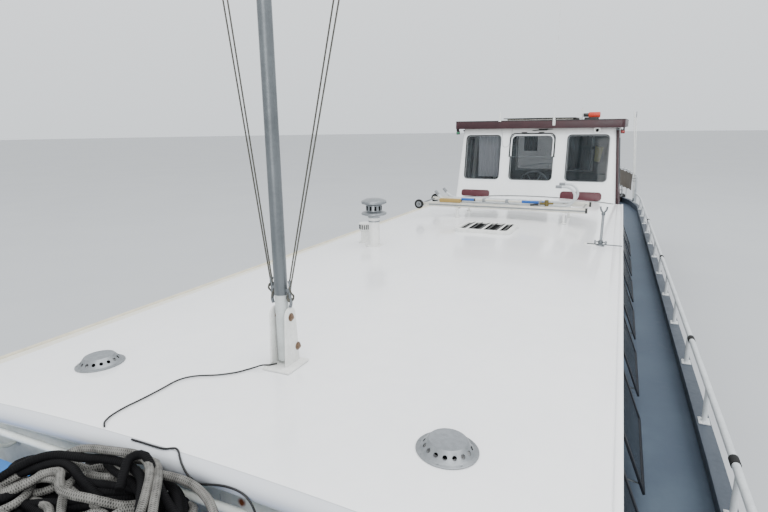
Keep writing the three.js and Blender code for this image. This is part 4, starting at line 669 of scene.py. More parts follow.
def makeRoof(size, edge):
    skin = Piece("roofSkin")
    sheet = bmesh.new()
    rows = size["rows"] + size["rollRows"]
    bmesh.ops.create_grid(sheet, x_segments=rows, y_segments=size["columns"], size=0.5)
    nose = size["nose"]
    for vert in sheet.verts:
        along, across = (vert.co.x + 0.5) * rows, vert.co.y * 2
        if along <= size["rows"]:
            x = size["aft"] + (size["fore"] - 0.002 - size["aft"]) * along / size["rows"]
            y = across * (roofHalf(x) - 0.002)
            vert.co = (x, y, roofTop(x, y) - 0.001)
        else:
            turn = (along - size["rows"]) / size["rollRows"] * radians(190)
            x = size["fore"] - 0.002
            y = across * (roofHalf(x) - 0.014)
            vert.co = (x + nose * sin(turn), y, roofTop(x, y) - 0.001 - nose + nose * cos(turn))
    bmesh.ops.recalc_face_normals(sheet, faces=sheet.faces)
    if sum(f.normal.z for f in sheet.faces) < 0:
        bmesh.ops.reverse_faces(sheet, faces=sheet.faces)
    bmesh.ops.solidify(sheet, geom=sheet.faces[:], thickness=0.008)
    skin.take(sheet, "roofWhite")
    low, top = size["lowEdge"], size["edge"]
    bead, groove, band = edge["bead"], edge["groove"], edge["band"]
    for side in (1, -1):
        def edgeStrip(profile, finish):
            x0, x1 = size["aft"], size["fore"]
            h0, h1 = roofHalf(x0), roofHalf(x1)
            section = [(x0, side * (h0 - u), z) for u, z in profile]
            skin.take(swept(section, (x1 - x0, side * (h1 - h0), 0), 0.0), finish)
        rise = top + edge["beadTop"] - 0.002
        edgeStrip([(0, low), (0, rise - 0.006), (0.003, rise - 0.002), (0.008, rise), (bead - 0.008, rise),
            (bead - 0.003, rise - 0.002), (bead, rise - 0.008), (bead + groove, top - 0.002),
            (bead + groove, low)], "roofWhite" if side > 0 else "beadCream")
        start = bead + groove
        edgeStrip([(start, top - 0.012), (start, top + edge["bandRise"]),
            (start + 0.004, top + edge["bandRise"] + 0.003), (start + band - 0.02, top + 0.0105),
            (start + band, top + 0.0095), (start + band, low), (start + 0.02, low)],
            "roofWhite" if side > 0 else "lipCream")
    # end cap of the roll, and the aft edge's turned-down strip
    for side in (1, -1):
        x, y = size["fore"] - 0.002, side * (roofHalf(size["fore"]) - 0.016)
        z = roofTop(x, y) - 0.001 - nose
        skin.take(turned([(0, -0.004), (nose - 0.006, -0.004), (nose, 0), (nose, 0.006), (nose - 0.01, 0.012),
            (0, 0.014)], (x, y, z), (0, side, 0), 32), "roofWhite")
    skin.done("roof_gloss", ["coachroof"])


makeRoof(roof, lip)
print("stage: coachroof laid")

# Tabernacle: white cheeks on a small step, with a pivot bolt and a lock bolt
tabernacle = {"x": 4.63, "y": 0.034, "inner": 0.039, "thick": 0.010, "foot": 0.060, "head": 0.042, "top": 2.895,
    "pivotZ": 2.846, "lockZ": 2.678, "lockBack": 0.047, "step": (-0.08, 0.105, -0.065, 0.092), "rise": 0.0118}


def hexBolt(piece, place, axis, across, high, finish):  # washer and nut, standing on a place
    place, axis = Vector(place), Vector(axis).normalized()
    washer = across * 0.75
    piece.take(rod(place, place + axis * high * 0.25, washer, sides=20), finish)
    piece.take(rod(place + axis * high * 0.2, place + axis * high, across / 2, sides=6, edge=across * 0.04),
        finish)
    piece.take(rod(place, place + axis * high * 1.35, across * 0.27, sides=14), finish)


def makeTabernacle(x, y, inner, thick, foot, head, top, pivotZ, lockZ, lockBack, step, rise):
    piece = Piece("mastStep", finish="fittingWhite")
    base = roofTop(x, y)
    aft, fore, starboard, port = step
    piece.take(boxed((x + aft, y + starboard, base + 0.0008), (x + fore, y + port, base + rise), 0.003))
    for start in (y + inner, y - inner - thick):
        outline = [(x - foot, start, base + 0.006), (x + foot, start, base + 0.006)]
        for i in range(17):
            turn = pi * i / 16
            outline.append((x + head * cos(turn), start, top - head + head * sin(turn)))
        piece.take(swept(outline, (0, thick, 0), 0.0012))
    for boltX, boltZ, radius in ((x, pivotZ, 0.0095), (x - lockBack, lockZ, 0.0075)):
        piece.take(rod((boltX, y - inner - thick - 0.002, boltZ), (boltX, y + inner + thick + 0.002, boltZ),
            radius), "boltBrown")
        for side in (1, -1):
            hexBolt(piece, (boltX, y + side * (inner + thick), boltZ), (0, side, 0), 0.028, 0.011, "boltBrown")
    for corner in ((aft + 0.02, starboard + 0.014), (aft + 0.02, port - 0.014), (fore - 0.016, port - 0.014),
            (fore - 0.016, starboard + 0.016)):
        spot = (x + corner[0], y + corner[1], base + rise - 0.0005)
        piece.take(turned([(0, 0), (0.008, 0), (0.007, 0.003), (0, 0.005)], spot, steps=16))
    piece.done("white_fittings", ["tabernacle"])


makeTabernacle(**tabernacle)

# Mast: tapered grey pole with a yard, cleats and two pairs of halyards
mast = {"x": 4.63, "y": 0.034, "foot": 2.619, "top": 8.6, "radius": 0.033, "yardZ": 7.0, "yardHalf": 1.15,
    "reflectionTop": 2.96, "cleats": ((-1, 2.975), (1, 2.965)), "blocks": (-0.53, 1.013), "lineRadius": 0.0038,
    "pairGap": 0.056}


def makeMast(x, y, foot, top, radius, yardZ, yardHalf, reflectionTop, cleats, blocks, lineRadius, pairGap):
    pole = Piece("mastPole", "mast", finish="mastGrey")
    r = radius
    # the foot, up past the tabernacle's white cheeks, is paler: a painted reflection of the cheeks
    pole.take(rod((x, y, foot), (x, y, reflectionTop), r, sides=64, edge=0.002), "paleMastReflection")
    pole.take(rod((x, y, reflectionTop), (x, y, top), r, sides=64))
    yard = yardZ
    pole.take(rod((x, y - yardHalf, yard), (x, y + yardHalf, yard), 0.015, sides=24, edge=0.003))
    pole.take(turned([(0.03, -0.05), (0.042, -0.05), (0.042, 0.05), (0.03, 0.05), (0.03, -0.05)], (x, y, yard)))
    pole.take(turned([(0, -0.01), (0.044, -0.01), (0.044, 0.045), (0.036, 0.06), (0, 0.066)], (x, y, top)),
        "fittingWhite")
    pole.take(turned([(0, 0), (0.018, 0), (0.018, 0.004)], (x, y, top)), "fittingWhite")
    for side, z in cleats:  # horn cleats on the pole's sides
        out = y + side * (r + 0.018)
        for lift in (-0.018, 0.018):
            pole.take(boxed((x - 0.008, min(y + side * r * 0.8, out), z + lift - 0.007),
                (x + 0.008, max(y + side * r * 0.8, out), z + lift + 0.007), 0.002), "cleatGrey")
        horn = [(x, out - side * 0.001, z - 0.066), (x, out + side * 0.004, z - 0.045), (x, out, z - 0.02),
            (x, out, z + 0.02), (x, out + side * 0.004, z + 0.045), (x, out - side * 0.001, z + 0.066)]
        pole.take(pipe(smoothed(horn, 4), 0.008, 12), "cleatGrey")
        # turns of the halyard belayed round the cleat
        for k in range(3):
            turn = [(x + 0.014 * sin(2 * a), out + side * (0.002 + 0.012 * cos(a)) + side * 0.001 * k,
                z + (0.038 - 0.006 * k) * sin(a)) for a in around(24)]
            pole.take(pipe(turn, lineRadius, 8, closed=True), "lineGrey")
    pole.done("alloy", ["mast"])
    lines = Piece("halyards", "mast")
    for (side, z), reach in zip(cleats, blocks):
        out = y + side * (r + 0.020)
        block = (x, y + reach, yard - 0.05)
        for gap in (-1, 1):
            low = (x + 0.004 * gap, out + gap * 0.008, z + 0.04)
            high = (x, block[1] + gap * pairGap / 2, block[2])
            lines.take(rod(low, high, lineRadius, sides=8), "lineGrey")
        lines.take(turned([(0, -0.012), (0.016, -0.010), (0.016, 0.010), (0, 0.012)], block, (1, 0, 0), 20),
            "cleatGrey")
        lines.take(rod(block, (x, block[1], yard), 0.004, sides=8), "cleatGrey")
    lines.done("cable_sheath")


makeMast(**mast)
print("stage: mast rigged")

# Roof vents: low steel mushrooms with a ring of round holes
vents = {"flange": 0.121, "top": 0.046, "holes": 16, "hole": 0.0092, "places": {"port": (4.978, 1.006),
    "starboard": (4.954, -0.906)}}


def makeVent(name, place, size):
    piece = Piece(name)
    x, y = place
    flange, top = size["flange"], size["top"]
    shell = turned([(flange, 0.001), (flange, 0.004), (flange - 0.003, 0.006), (0.108, 0.0065), (0.104, 0.009),
        (0.079, top - 0.005), (0.074, top), (0.0735, top - 0.003), (0.077, top - 0.007), (0.101, 0.0075),
        (0.106, 0.001), (flange, 0.001)], steps=96)
    lid = turned([(0, top - 0.0015), (0.070, top - 0.0015), (0.0742, top - 0.0005), (0.074, top - 0.004),
        (0, top - 0.005)], steps=64)
    lean = atan2(top - 0.014, 0.025)
    middle, rise = 0.0915, 0.0265
    cutters = []
    for turn in around(size["holes"], pi / size["holes"]):
        out = Vector((cos(turn) * sin(lean), sin(turn) * sin(lean), cos(lean)))
        spot = Vector((middle * cos(turn), middle * sin(turn), rise))
        cutters.append(rod(spot - out * 0.012, spot + out * 0.012, size["hole"], sides=20))
    seat = seatOn(x, y)
    piece.take(carved(shell, cutters), "steel", seat)
    piece.take(lid, "steelFlat", seat)
    # a dark core inside the shell, seen through the holes: painted shade for the vent's inside
    piece.take(turned([(0, 0.001), (0.060, 0.001), (0.060, top - 0.007), (0, top - 0.006)], steps=40),
        "holeShade", seat)
    for turn in around(8):
        spot = (0.1135 * cos(turn), 0.1135 * sin(turn), 0.0055)
        piece.take(turned([(0, 0), (0.0045, 0), (0.004, 0.0018), (0, 0.0024)], spot, steps=14), "steel", seat)
    piece.done("stainless", [f"vent_{name[4:].lower()}"])


for side, place in vents["places"].items():
    makeVent("vent" + side.capitalize(), place, vents)

# Flue with a double-disc cowl, and the short vent beside it
flue = {"x": 1.786, "y": -0.82, "radius": 0.055, "cowl": 0.128, "top": 3.055}
shortVent = {"x": 1.609, "y": -1.015, "radius": 0.045, "head": 0.066, "top": 2.765, "slots": 18}


def makeFlue(x, y, radius, cowl, top):
    piece = Piece("flueStack")
    r = radius
    z = roofTop(x, y)
    tall = top - z
    piece.take(turned([(0, -0.012), (r + 0.034, -0.006), (r + 0.033, 0.006), (r + 0.02, 0.010),
        (r + 0.004, 0.014), (r, 0.02), (r, tall - 0.19), (0, tall - 0.19)], (x, y, z), steps=64),
        "fittingWhite")
    band = [(0, tall - 0.20), (r + 0.004, tall - 0.20), (r + 0.008, tall - 0.185), (cowl - 0.006, tall - 0.168),
        (cowl, tall - 0.162), (cowl, tall - 0.150), (cowl - 0.006, tall - 0.144), (r + 0.024, tall - 0.128),
        (r + 0.022, tall - 0.072), (cowl - 0.006, tall - 0.056), (cowl, tall - 0.050), (cowl, tall - 0.030),
        (cowl - 0.006, tall - 0.024), (cowl - 0.05, tall - 0.006), (0.02, tall), (0, tall)]
    piece.take(turned(band, (x, y, z), steps=64), "steel")
    # dark boxes on the flue's sides stand for its slots: painted shade, not openings
    for turn in around(10):
        spot = Vector((x + (r + 0.021) * cos(turn), y + (r + 0.021) * sin(turn), z + tall - 0.1))
        out = Vector((cos(turn), sin(turn), 0))
        piece.take(boxed((-0.011, -0.0025, -0.022), (0.011, 0.0045, 0.022), 0.001), "holeShade",
            Matrix.Translation(spot) @ out.to_track_quat("Y", "Z").to_matrix().to_4x4())
    piece.take(turned([(r - 0.001, -0.006), (r + 0.0035, -0.006), (r + 0.0035, 0.006), (r - 0.001, 0.006),
        (r - 0.001, -0.006)], (x, y, z + tall - 0.235)), "steel")
    piece.done("white_fittings", ["flue"])


def makeShortVent(x, y, radius, head, top, slots):
    piece = Piece("slottedVent")
    r = radius
    z = roofTop(x, y)
    tall = top - z
    piece.take(turned([(0, -0.014), (r + 0.023, -0.009), (r + 0.022, 0.006), (r + 0.004, 0.010), (r, 0.018),
        (r, tall - 0.082), (0, tall - 0.082)], (x, y, z), steps=48), "fittingWhite")
    piece.take(turned([(0, tall - 0.084), (head - 0.003, tall - 0.084), (head, tall - 0.080),
        (head, tall - 0.074), (head - 0.008, tall - 0.070), (head - 0.008, tall - 0.018), (head, tall - 0.014),
        (head - 0.002, tall - 0.006), (head - 0.014, tall), (0, tall)], (x, y, z), steps=48), "fittingWhite")
    # dark boxes round the head stand for its slots: painted shade, not openings
    for turn in around(slots):
        out = Vector((cos(turn), sin(turn), 0))
        spot = Vector((x, y, z + tall - 0.044)) + out * (head - 0.010)
        piece.take(boxed((-0.0045, 0, -0.024), (0.0045, 0.006, 0.024), 0.001), "holeShade",
            Matrix.Translation(spot) @ out.to_track_quat("Y", "Z").to_matrix().to_4x4())
    piece.done("white_fittings", ["short_vent"])


makeFlue(**flue)
makeShortVent(**shortVent)

# Ventilated hatch: white rim round black slats, with white bars across
hatch = {"x": 0.61, "y": 0.06, "length": 0.56, "width": 0.64, "corner": 0.09, "rim": 0.05, "high": 0.041,
    "slats": 6}


def makeHatch(x, y, length, width, corner, rim, high, slats):
    piece = Piece("slattedHatch")
    seat = seatOn(x, y, -0.012)
    piece.take(plate(length, width, high + 0.008, corner, Matrix(), 0.006, band=rim), "fittingWhite", seat)
    # a dark plate under the slats is painted shade for the hatch's opening
    piece.take(plate(length - rim * 1.5, width - rim * 1.5, 0.03, corner * 0.7, Matrix()), "holeShade", seat)
    inside = width - 2 * rim
    for i in range(slats):
        spot = -inside / 2 + inside * (i + 0.5) / slats
        tilt = Matrix.Translation((0, spot, 0.036)) @ Matrix.Rotation(radians(24), 4, "X")
        piece.take(boxed((-length / 2 + rim * 0.8, -0.03, -0.003), (length / 2 - rim * 0.8, 0.03, 0.003),
            0.001), "blackPaint", seat @ tilt)
    for spot in (-inside / 3, 0, inside / 3):
        piece.take(boxed((-length / 2 + rim * 0.5, spot - 0.011, 0.040), (length / 2 - rim * 0.5, spot + 0.011,
            0.050), 0.003), "fittingWhite", seat)
    piece.done("white_fittings", ["roof_hatch"])


makeHatch(**hatch)
print("stage: vents, flue and hatch set")

# Wheelhouse front: a raked wall with rounded corners, three framed windows, hinges and fittings
house = {"foot": 2.55, "footX": -2.58, "rake": 0.1833, "half": 1.31, "tumble": 0.065, "thick": 0.0498,
    "eaves": 3.7495, "corner": 0.046, "glassLow": 2.85, "glassHigh": 3.60, "glassCorner": 0.07,
    "windows": {"starboard": (-0.87, 0.62), "middle": (-0.04, 0.72), "port": (0.84, 0.65)},
    "plates": ((-0.952, 2.614, 0.50, 0.115), (0.79, 2.623, 0.64, 0.14))}
frontUp = hypot(1, house["rake"])


def frontSeat(y, z, out=0.0):  # a place on the raked front: X to port, Y up the wall, Z out of it
    across, up = Vector((0, 1, 0)), Vector((-house["rake"], 0, 1)).normalized()
    normal = across.cross(up)
    spot = Vector((house["footX"] - house["rake"] * (z - house["foot"]), y, z)) + normal * out
    return Matrix.Translation(spot) @ Matrix((across, up, normal)).transposed().to_4x4()


def makeHouseFront(size):
    wall = Piece("houseFront")
    seat = frontSeat(0, 0)
    side = lambda z: size["half"] - size["tumble"] * (z - size["foot"])
    outline = []
    for i in range(25):
        y = (size["half"] - 0.002) * (1 - 2 * i / 24)
        outline.append((y, (roofTop(size["footX"], y) + 0.0104) * frontUp, -size["thick"]))
    top = side(size["eaves"]) - 0.0005
    outline += [(-top, size["eaves"] * frontUp, -size["thick"]), (top, size["eaves"] * frontUp, -size["thick"])]
    slab = swept(outline, (0, 0, size["thick"]))
    bmesh.ops.recalc_face_normals(slab, faces=slab.faces)
    corners = [e for e in slab.edges if all(abs(abs(v.co.x) - side(v.co.y / frontUp)) < 0.02 and v.co.z > -0.01
        for v in e.verts) and abs(e.verts[0].co.y - e.verts[1].co.y) > 0.5]
    soften(slab, corners, size["corner"], 8)
    low, high = size["glassLow"] * frontUp, size["glassHigh"] * frontUp
    holes = []
    for y, width in size["windows"].values():
        spot = Matrix.Translation((y, (low + high) / 2, -0.08))
        holes.append(plate(width, high - low, 0.12, size["glassCorner"], spot))
    wall.take(carved(slab, holes), "houseWhite", seat)
    wall.done("roof_gloss", ["wheelhouse_front"])
    frames = Piece("windowFrames")
    for y, width in size["windows"].values():
        spot = Matrix.Translation((y, (low + high) / 2, -0.001))
        frames.take(plate(width + 0.046, high - low + 0.046, 0.007, size["glassCorner"] + 0.022, spot, 0.002,
            band=0.024), "frameWhite", seat)
        inner = Matrix.Translation((y, (low + high) / 2, -0.022))
        frames.take(plate(width - 0.001, high - low - 0.001, 0.027, size["glassCorner"], inner, 0.0,
            band=0.008), "rubber", seat)
        back = Matrix.Translation((y, (low + high) / 2, -size["thick"] - 0.0058))
        frames.take(plate(width + 0.03, high - low + 0.03, 0.006, size["glassCorner"] + 0.015, back, 0.001,
            band=0.035), "frameWhite", seat)
    # upper sash of the middle window: white rail with a black seal, hinged at its top
    y, width = size["windows"]["middle"]
    halfWide, middle = width / 2 + 0.008, (low + high) / 2 + 0.02
    for inset, radius, out, finish in ((0.0, 0.0085, 0.012, "rubber"), (0.026, 0.011, 0.010, "frameWhite")):
        run = []
        wide, tall = halfWide - inset, high + 0.018 - inset
        for sign in (-1, 1):
            arc = [(sign * wide, middle), (sign * wide, middle + 0.1), (sign * wide, tall - 0.085)]
            for i in range(1, 6):
                turn = pi / 2 * i / 6
                arc.append((sign * (wide - 0.085 + 0.085 * cos(turn)), tall - 0.085 + 0.085 * sin(turn)))
            arc.append((sign * (wide - 0.085), tall))
            run += arc if sign < 0 else arc[::-1]
        frames.take(pipe([(u + y, v, out) for u, v in run], radius, 12), finish, seat)
    for sign in (-1, 1):
        frames.take(rod((sign * (halfWide - 0.03) + y, middle, 0.012), (sign * (halfWide + 0.012) + y, middle,
            0.012), 0.009, sides=12), "rubber", seat)
        hinge = (sign * 0.14 + y, high + 0.022, 0.008)
        frames.take(boxed([hinge[0] - 0.03, hinge[1] - 0.012, hinge[2] - 0.012],
            [hinge[0] + 0.03, hinge[1] + 0.014, hinge[2] + 0.008], 0.004), "blackPaint", seat)
        frames.take(rod((hinge[0] - 0.045, hinge[1] + 0.012, hinge[2] + 0.004),
            (hinge[0] + 0.045, hinge[1] + 0.012, hinge[2] + 0.004), 0.007, sides=12), "blackPaint", seat)
    frames.take(boxed((-halfWide + 0.03 + y, middle - 0.010, -0.014), (halfWide - 0.03 + y, middle - 0.002,
        -0.004), 0.002), "steelDark", seat)
    frames.done("white_fittings")


makeHouseFront(house)

# Fascia with its dark coping, and what stands on and under the wheelhouse roof
top = {"aft": -5.34, "fore": -2.69, "half": 1.37, "low": 3.705, "high": 3.835, "board": 0.025, "corner": 0.06}


def makeFascia(aft, fore, half, low, high, board, corner):
    piece = Piece("houseFascia")
    length, width = fore - aft, 2 * half
    middle = (fore + aft) / 2
    piece.take(plate(length, width, high - low - 0.012, corner, Matrix.Translation((middle, 0, low)), 0.003,
        band=board - 0.001), "maroon")
    piece.take(plate(length, width, 0.012, corner, Matrix.Translation((middle, 0, high - 0.0118)), 0.002,
        band=board - 0.001), "blackPaint")
    piece.take(plate(length - 0.004, width - 0.004, 0.008, corner, Matrix.Translation((middle, 0, low - 0.002)),
        0.002, band=0.023), "maroonDark")
    piece.done("maroon_paint", ["roof_fascia"])


makeFascia(**top)

fittings = {"whip": {"x": -2.682, "y": 0.30, "low": 3.745, "mount": 3.94, "tip": 6.2},
            "stub": {"x": -2.70, "y": -0.586, "low": 3.80},
            "horn": {"y": 0.965, "z": 3.655, "radius": 0.052},
            "lamps": ((-2.80, 1.352, 3.66), (-2.80, -1.352, 3.66))}


def makeFittings(whip, stub, horn, lamps):
    piece = Piece("roofFittings", finish="fittingWhite")
    x, y = whip["x"], whip["y"]
    piece.take(boxed((x - 0.012, y - 0.022, whip["low"]), (x - 0.004, y + 0.022, whip["low"] + 0.085), 0.002))
    piece.take(turned([(0, 0), (0.017, 0), (0.017, 0.035), (0.013, 0.045), (0.011, 0.05), (0.011, 0.06),
        (0.018, 0.065), (0.018, 0.11), (0.011, 0.135), (0.007, 0.19), (0.0035, 0.21), (0.0035, 0.23),
        (0, 0.23)], (x + 0.008, y, whip["low"] + 0.004), steps=24))
    piece.take(rod((x + 0.008, y, whip["mount"]), (x + 0.008, y, whip["tip"]), 0.0045, 0.0015, sides=10))
    piece.take(turned([(0, 0), (0.026, 0), (0.026, 0.012), (0.017, 0.02), (0.017, 0.09), (0.012, 0.1),
        (0.012, 0.14), (0, 0.15)], (stub["x"], stub["y"], stub["low"] + 0.02), steps=24))
    hornSeat = frontSeat(horn["y"], horn["z"])
    r = horn["radius"]
    piece.take(turned([(0, 0), (0.03, 0), (0.034, 0.03), (r - 0.006, 0.062), (r, 0.074), (r - 0.003, 0.080),
        (r - 0.010, 0.076), (0.026, 0.045), (0.022, 0.03), (0, 0.03)], steps=40), turn=hornSeat)
    # the horn's throat is a dark cone of painted shade
    piece.take(turned([(0, 0.028), (0.0215, 0.0305), (0.02, 0.045), (0, 0.052)], steps=24), "holeShade",
        hornSeat)
    for spot in lamps:
        side = 1 if spot[1] > 0 else -1
        x, y, z = spot
        piece.take(boxed((x - 0.05, y - 0.012, z + 0.012), (x + 0.05, y + 0.012, z + 0.044), 0.004),
            "blackPaint")
        piece.take(turned([(0, -0.05), (0.028, -0.05), (0.030, -0.044), (0.030, 0.006), (0.028, 0.014),
            (0, 0.014)], (x + 0.02, y - side * 0.014, z), steps=24), "blackPaint")
        piece.take(turned([(0, -0.036), (0.0305, -0.036), (0.0305, -0.006), (0, -0.006)],
            (x + 0.024, y - side * 0.012, z), steps=24), "lampRed" if side > 0 else "lampGreen")
    # folded wiper under the fascia over the middle window
    piece.take(boxed((-0.07, -0.012, 0), (0.07, 0.014, 0.022), 0.006), "blackPaint", frontSeat(0.12, 3.675))
    piece.take(rod((-0.17, -0.012, 0.02), (0.16, 0.012, 0.02), 0.006, sides=10), "blackPaint",
        frontSeat(0.12, 3.672))
    piece.take(rod((0.08, 0.016, 0.012), (-0.02, 0.0, 0.022), 0.008, 0.005, sides=10), "blackPaint",
        frontSeat(0.12, 3.672))
    # two plain name boards with rounded ends
    for y, z, width, height in house["plates"]:
        piece.take(plate(width, height, 0.005, height * 0.38, Matrix(), 0.001), "plateMaroon",
            frontSeat(y, z, 0.0003))
    # rescue light and a small upright on the roof
    piece.take(rod((-2.98, 0.80, 3.905), (-2.98, 0.98, 3.905), 0.045, sides=28, edge=0.012), "orangeRed")
    piece.take(rod((-2.98, 0.72, 3.905), (-2.98, 0.80, 3.905), 0.03, sides=24, edge=0.006), "blackPaint")
    piece.take(boxed((-3.02, 0.74, 3.830), (-2.94, 0.96, 3.868), 0.005), "blackPaint")
    piece.take(rod((-3.0, 0.70, 3.83), (-3.0, 0.70, 4.02), 0.009, sides=14))
    piece.take(rod((-3.0, 0.62, 3.93), (-3.0, 0.78, 3.93), 0.006, sides=12))
    piece.done("white_fittings")
    # dark panel on the roof
    panel = Piece("roofPanel")
    panel.take(boxed((-4.05, -0.55, 3.8585), (-2.80, 0.62, 3.873), 0.003), "darkPanel")
    for x in (-3.95, -2.9):
        panel.take(boxed((x - 0.02, -0.5, 3.835), (x + 0.02, 0.57, 3.859), 0.002), "alloy")
    panel.done("window_frame")


makeFittings(**fittings)

# Loop of wire from the stub aerial, down beside the starboard window
loopRoute = [(-0.586, 3.80), (-0.575, 3.72), (-0.545, 3.55), (-0.535, 3.44), (-0.515, 3.405), (-0.475, 3.395),
    (-0.435, 3.42), (-0.41, 3.50), (-0.395, 3.60), (-0.385, 3.70)]


def makeLoop(route):
    piece = Piece("aerialWire")
    places = [frontSeat(y, z, 0.0035) @ Vector((0, 0, 0)) for y, z in route]
    piece.take(pipe(smoothed(places, 5), 0.0028, 8), "cableGrey")
    piece.done("cable_sheath")


makeLoop(loopRoute)
print("stage: wheelhouse front and roof fitted")

# Gangway with its small wheels, on a rack of white posts
gangway = {"near": -0.2, "far": -0.8, "starboard": -0.95, "port": 1.085, "low": 2.7053, "deep": 0.06,
    "rail": 0.042, "slats": 8, "wheelY": -1.075, "wheelZ": 2.73, "wheelRadius": 0.064, "wheelWidth": 0.034}
rack = {"near": -0.18, "far": -0.76, "starboard": -0.54, "port": 0.815, "top": 2.7048}


def makeRack(near, far, starboard, port, top):
    piece = Piece("gangwayRack", finish="fittingWhite")
    for x in (near, far):
        for y in (starboard, port):
            base = roofTop(x, y)
            piece.take(rod((x, y, base - 0.004), (x, y, top - 0.02), 0.0135, sides=20))
            piece.take(turned([(0, 0.0005), (0.034, 0.0005), (0.034, 0.006), (0.030, 0.009), (0.015, 0.012),
                (0.0135, 0.02)], (x, y, base + 0.0015), steps=28))
    for y in (starboard, port):
        piece.take(boxed((far - 0.04, y - 0.018, top - 0.022), (near + 0.04, y + 0.018, top), 0.004))
    piece.take(boxed((-0.49, starboard, top - 0.022), (-0.45, port, top - 0.002), 0.003))
    piece.done("rail_paint", ["gangway_rack"])


def makeGangway(near, far, starboard, port, low, deep, rail, slats, wheelY, wheelZ, wheelRadius, wheelWidth):
    piece = Piece("gangwayFrame", finish="alloy")
    for x in (near, far):
        outline = [(x - rail / 2, starboard, low), (x + rail / 2, starboard, low),
            (x + rail / 2, starboard, low + deep), (x - rail / 2, starboard, low + deep)]
        piece.take(swept(outline, (0, port - starboard, 0), 0.003))
        # channel along the rail's outer face
        out = x + (rail / 2 - 0.001) * (1 if x == near else -1)
        piece.take(boxed((min(out, out + 0.0005) - 0.001, starboard + 0.01, low + 0.018),
            (max(out, out + 0.0005) + 0.001, port - 0.01, low + 0.036), 0.0), "alloyDark")
        piece.take(boxed((x - rail / 2 - 0.002, port - 0.028, low + 0.001),
            (x + rail / 2 + 0.002, port - 0.001, low + deep + 0.001), 0.003), "blackPaint")
    for i in range(slats):
        y = starboard + 0.06 + i * (port - starboard - 0.12) / (slats - 1)
        piece.take(boxed((far, y - 0.016, low + 0.012), (near, y + 0.016, low + 0.044), 0.003))
        for k in range(5):
            x = far + 0.09 + k * 0.105
            piece.take(boxed((x, y - 0.012, low + 0.0435), (x + 0.05, y + 0.012, low + 0.046), 0.001),
                "alloyDark")
    for x in (near, far):
        piece.take(boxed((x - 0.010, wheelY - 0.026, low + 0.006), (x + 0.010, starboard + 0.006, low + 0.05),
            0.003))
    piece.done("alloy", ["gangway"])
    wheels = Piece("gangwayWheels", "gangway_wheels")
    r, width = wheelRadius, wheelWidth
    for x0 in (near + 0.022, far - 0.022 - width):
        spot = (x0, wheelY, wheelZ)
        tyre = [(0.036, 0.004), (0.05, 0.0005), (r - 0.006, 0.002), (r - 0.001, 0.009), (r, width / 2),
            (r - 0.001, width - 0.009), (r - 0.006, width - 0.002), (0.05, width - 0.0005),
            (0.036, width - 0.004), (0.036, 0.004)]
        wheels.take(turned(tyre, spot, (1, 0, 0), 48), "rubber")
        wheels.take(turned([(0, 0.007), (0.037, 0.007), (0.037, width - 0.007), (0, width - 0.007)], spot,
            (1, 0, 0), 36), "knobGrey")
        wheels.take(turned([(0, 0.001), (0.014, 0.001), (0.016, 0.004), (0.016, width - 0.004),
            (0.014, width - 0.001), (0, width - 0.001)], spot, (1, 0, 0), 24), "blackPaint")
    wheels.take(rod((far - 0.022 - width, wheelY, wheelZ), (near + 0.022 + width, wheelY, wheelZ), 0.0095),
        "steel")
    wheels.done("rubber_black", ["gangway_wheels"])


makeRack(**rack)
makeGangway(**gangway)

# Swimming ladder of bent tube, laid on the gangway
ladder = {"near": -0.33, "far": -0.68, "low": 2.7669, "tube": 0.0168, "starboard": -0.9, "port": 0.8,
    "hook": 0.118, "rungs": 5}


def makeLadder(near, far, low, tube, starboard, port, hook, rungs):
    piece = Piece("boardingLadder")
    for x in (near, far):
        run = [(x, starboard + 0.006, low + 0.124), (x, starboard + 0.06, low + 0.06),
            (x, starboard + 0.13, low + 0.014), (x, starboard + 0.2, low + 0.0004), (x, starboard + 0.3, low),
            (x, 0, low), (x, port - 0.1, low), (x, port, low)]
        for i in range(1, 13):
            turn = -pi / 2 + pi * i / 12
            run.append((x, port + hook * cos(turn) - 0.002, low + hook + hook * sin(turn)))
        run.append((x, port - 0.06, low + 2 * hook))
        piece.take(pipe(smoothed(run, 4), tube, 20), "railWhite")
        piece.take(rod((x, port - 0.045, low + 2 * hook), (x, port - 0.119, low + 2 * hook), tube + 0.004,
            tube + 0.0025, edge=0.003), "knobGrey")
        tip, back = Vector((x, starboard, low + 0.13)), Vector((x, starboard + 0.045, low + 0.078))
        piece.take(rod(tip, back, tube + 0.003, tube + 0.004, edge=0.003), "knobGrey")
    for i in range(rungs):
        y = starboard + 0.26 + i * 0.31
        piece.take(rod((far, y, low), (near, y, low), 0.0125, sides=20), "railWhite")
    piece.done("rail_paint", ["ladder"])


makeLadder(**ladder)

# Two boathook poles with blue grips, a yellow block, clamps and an old brass tap, all lashed on the ladder
poles = {"z": 2.808, "rows": (-0.235, -0.272), "starboard": -0.80, "port": 0.60, "radius": 0.0125}


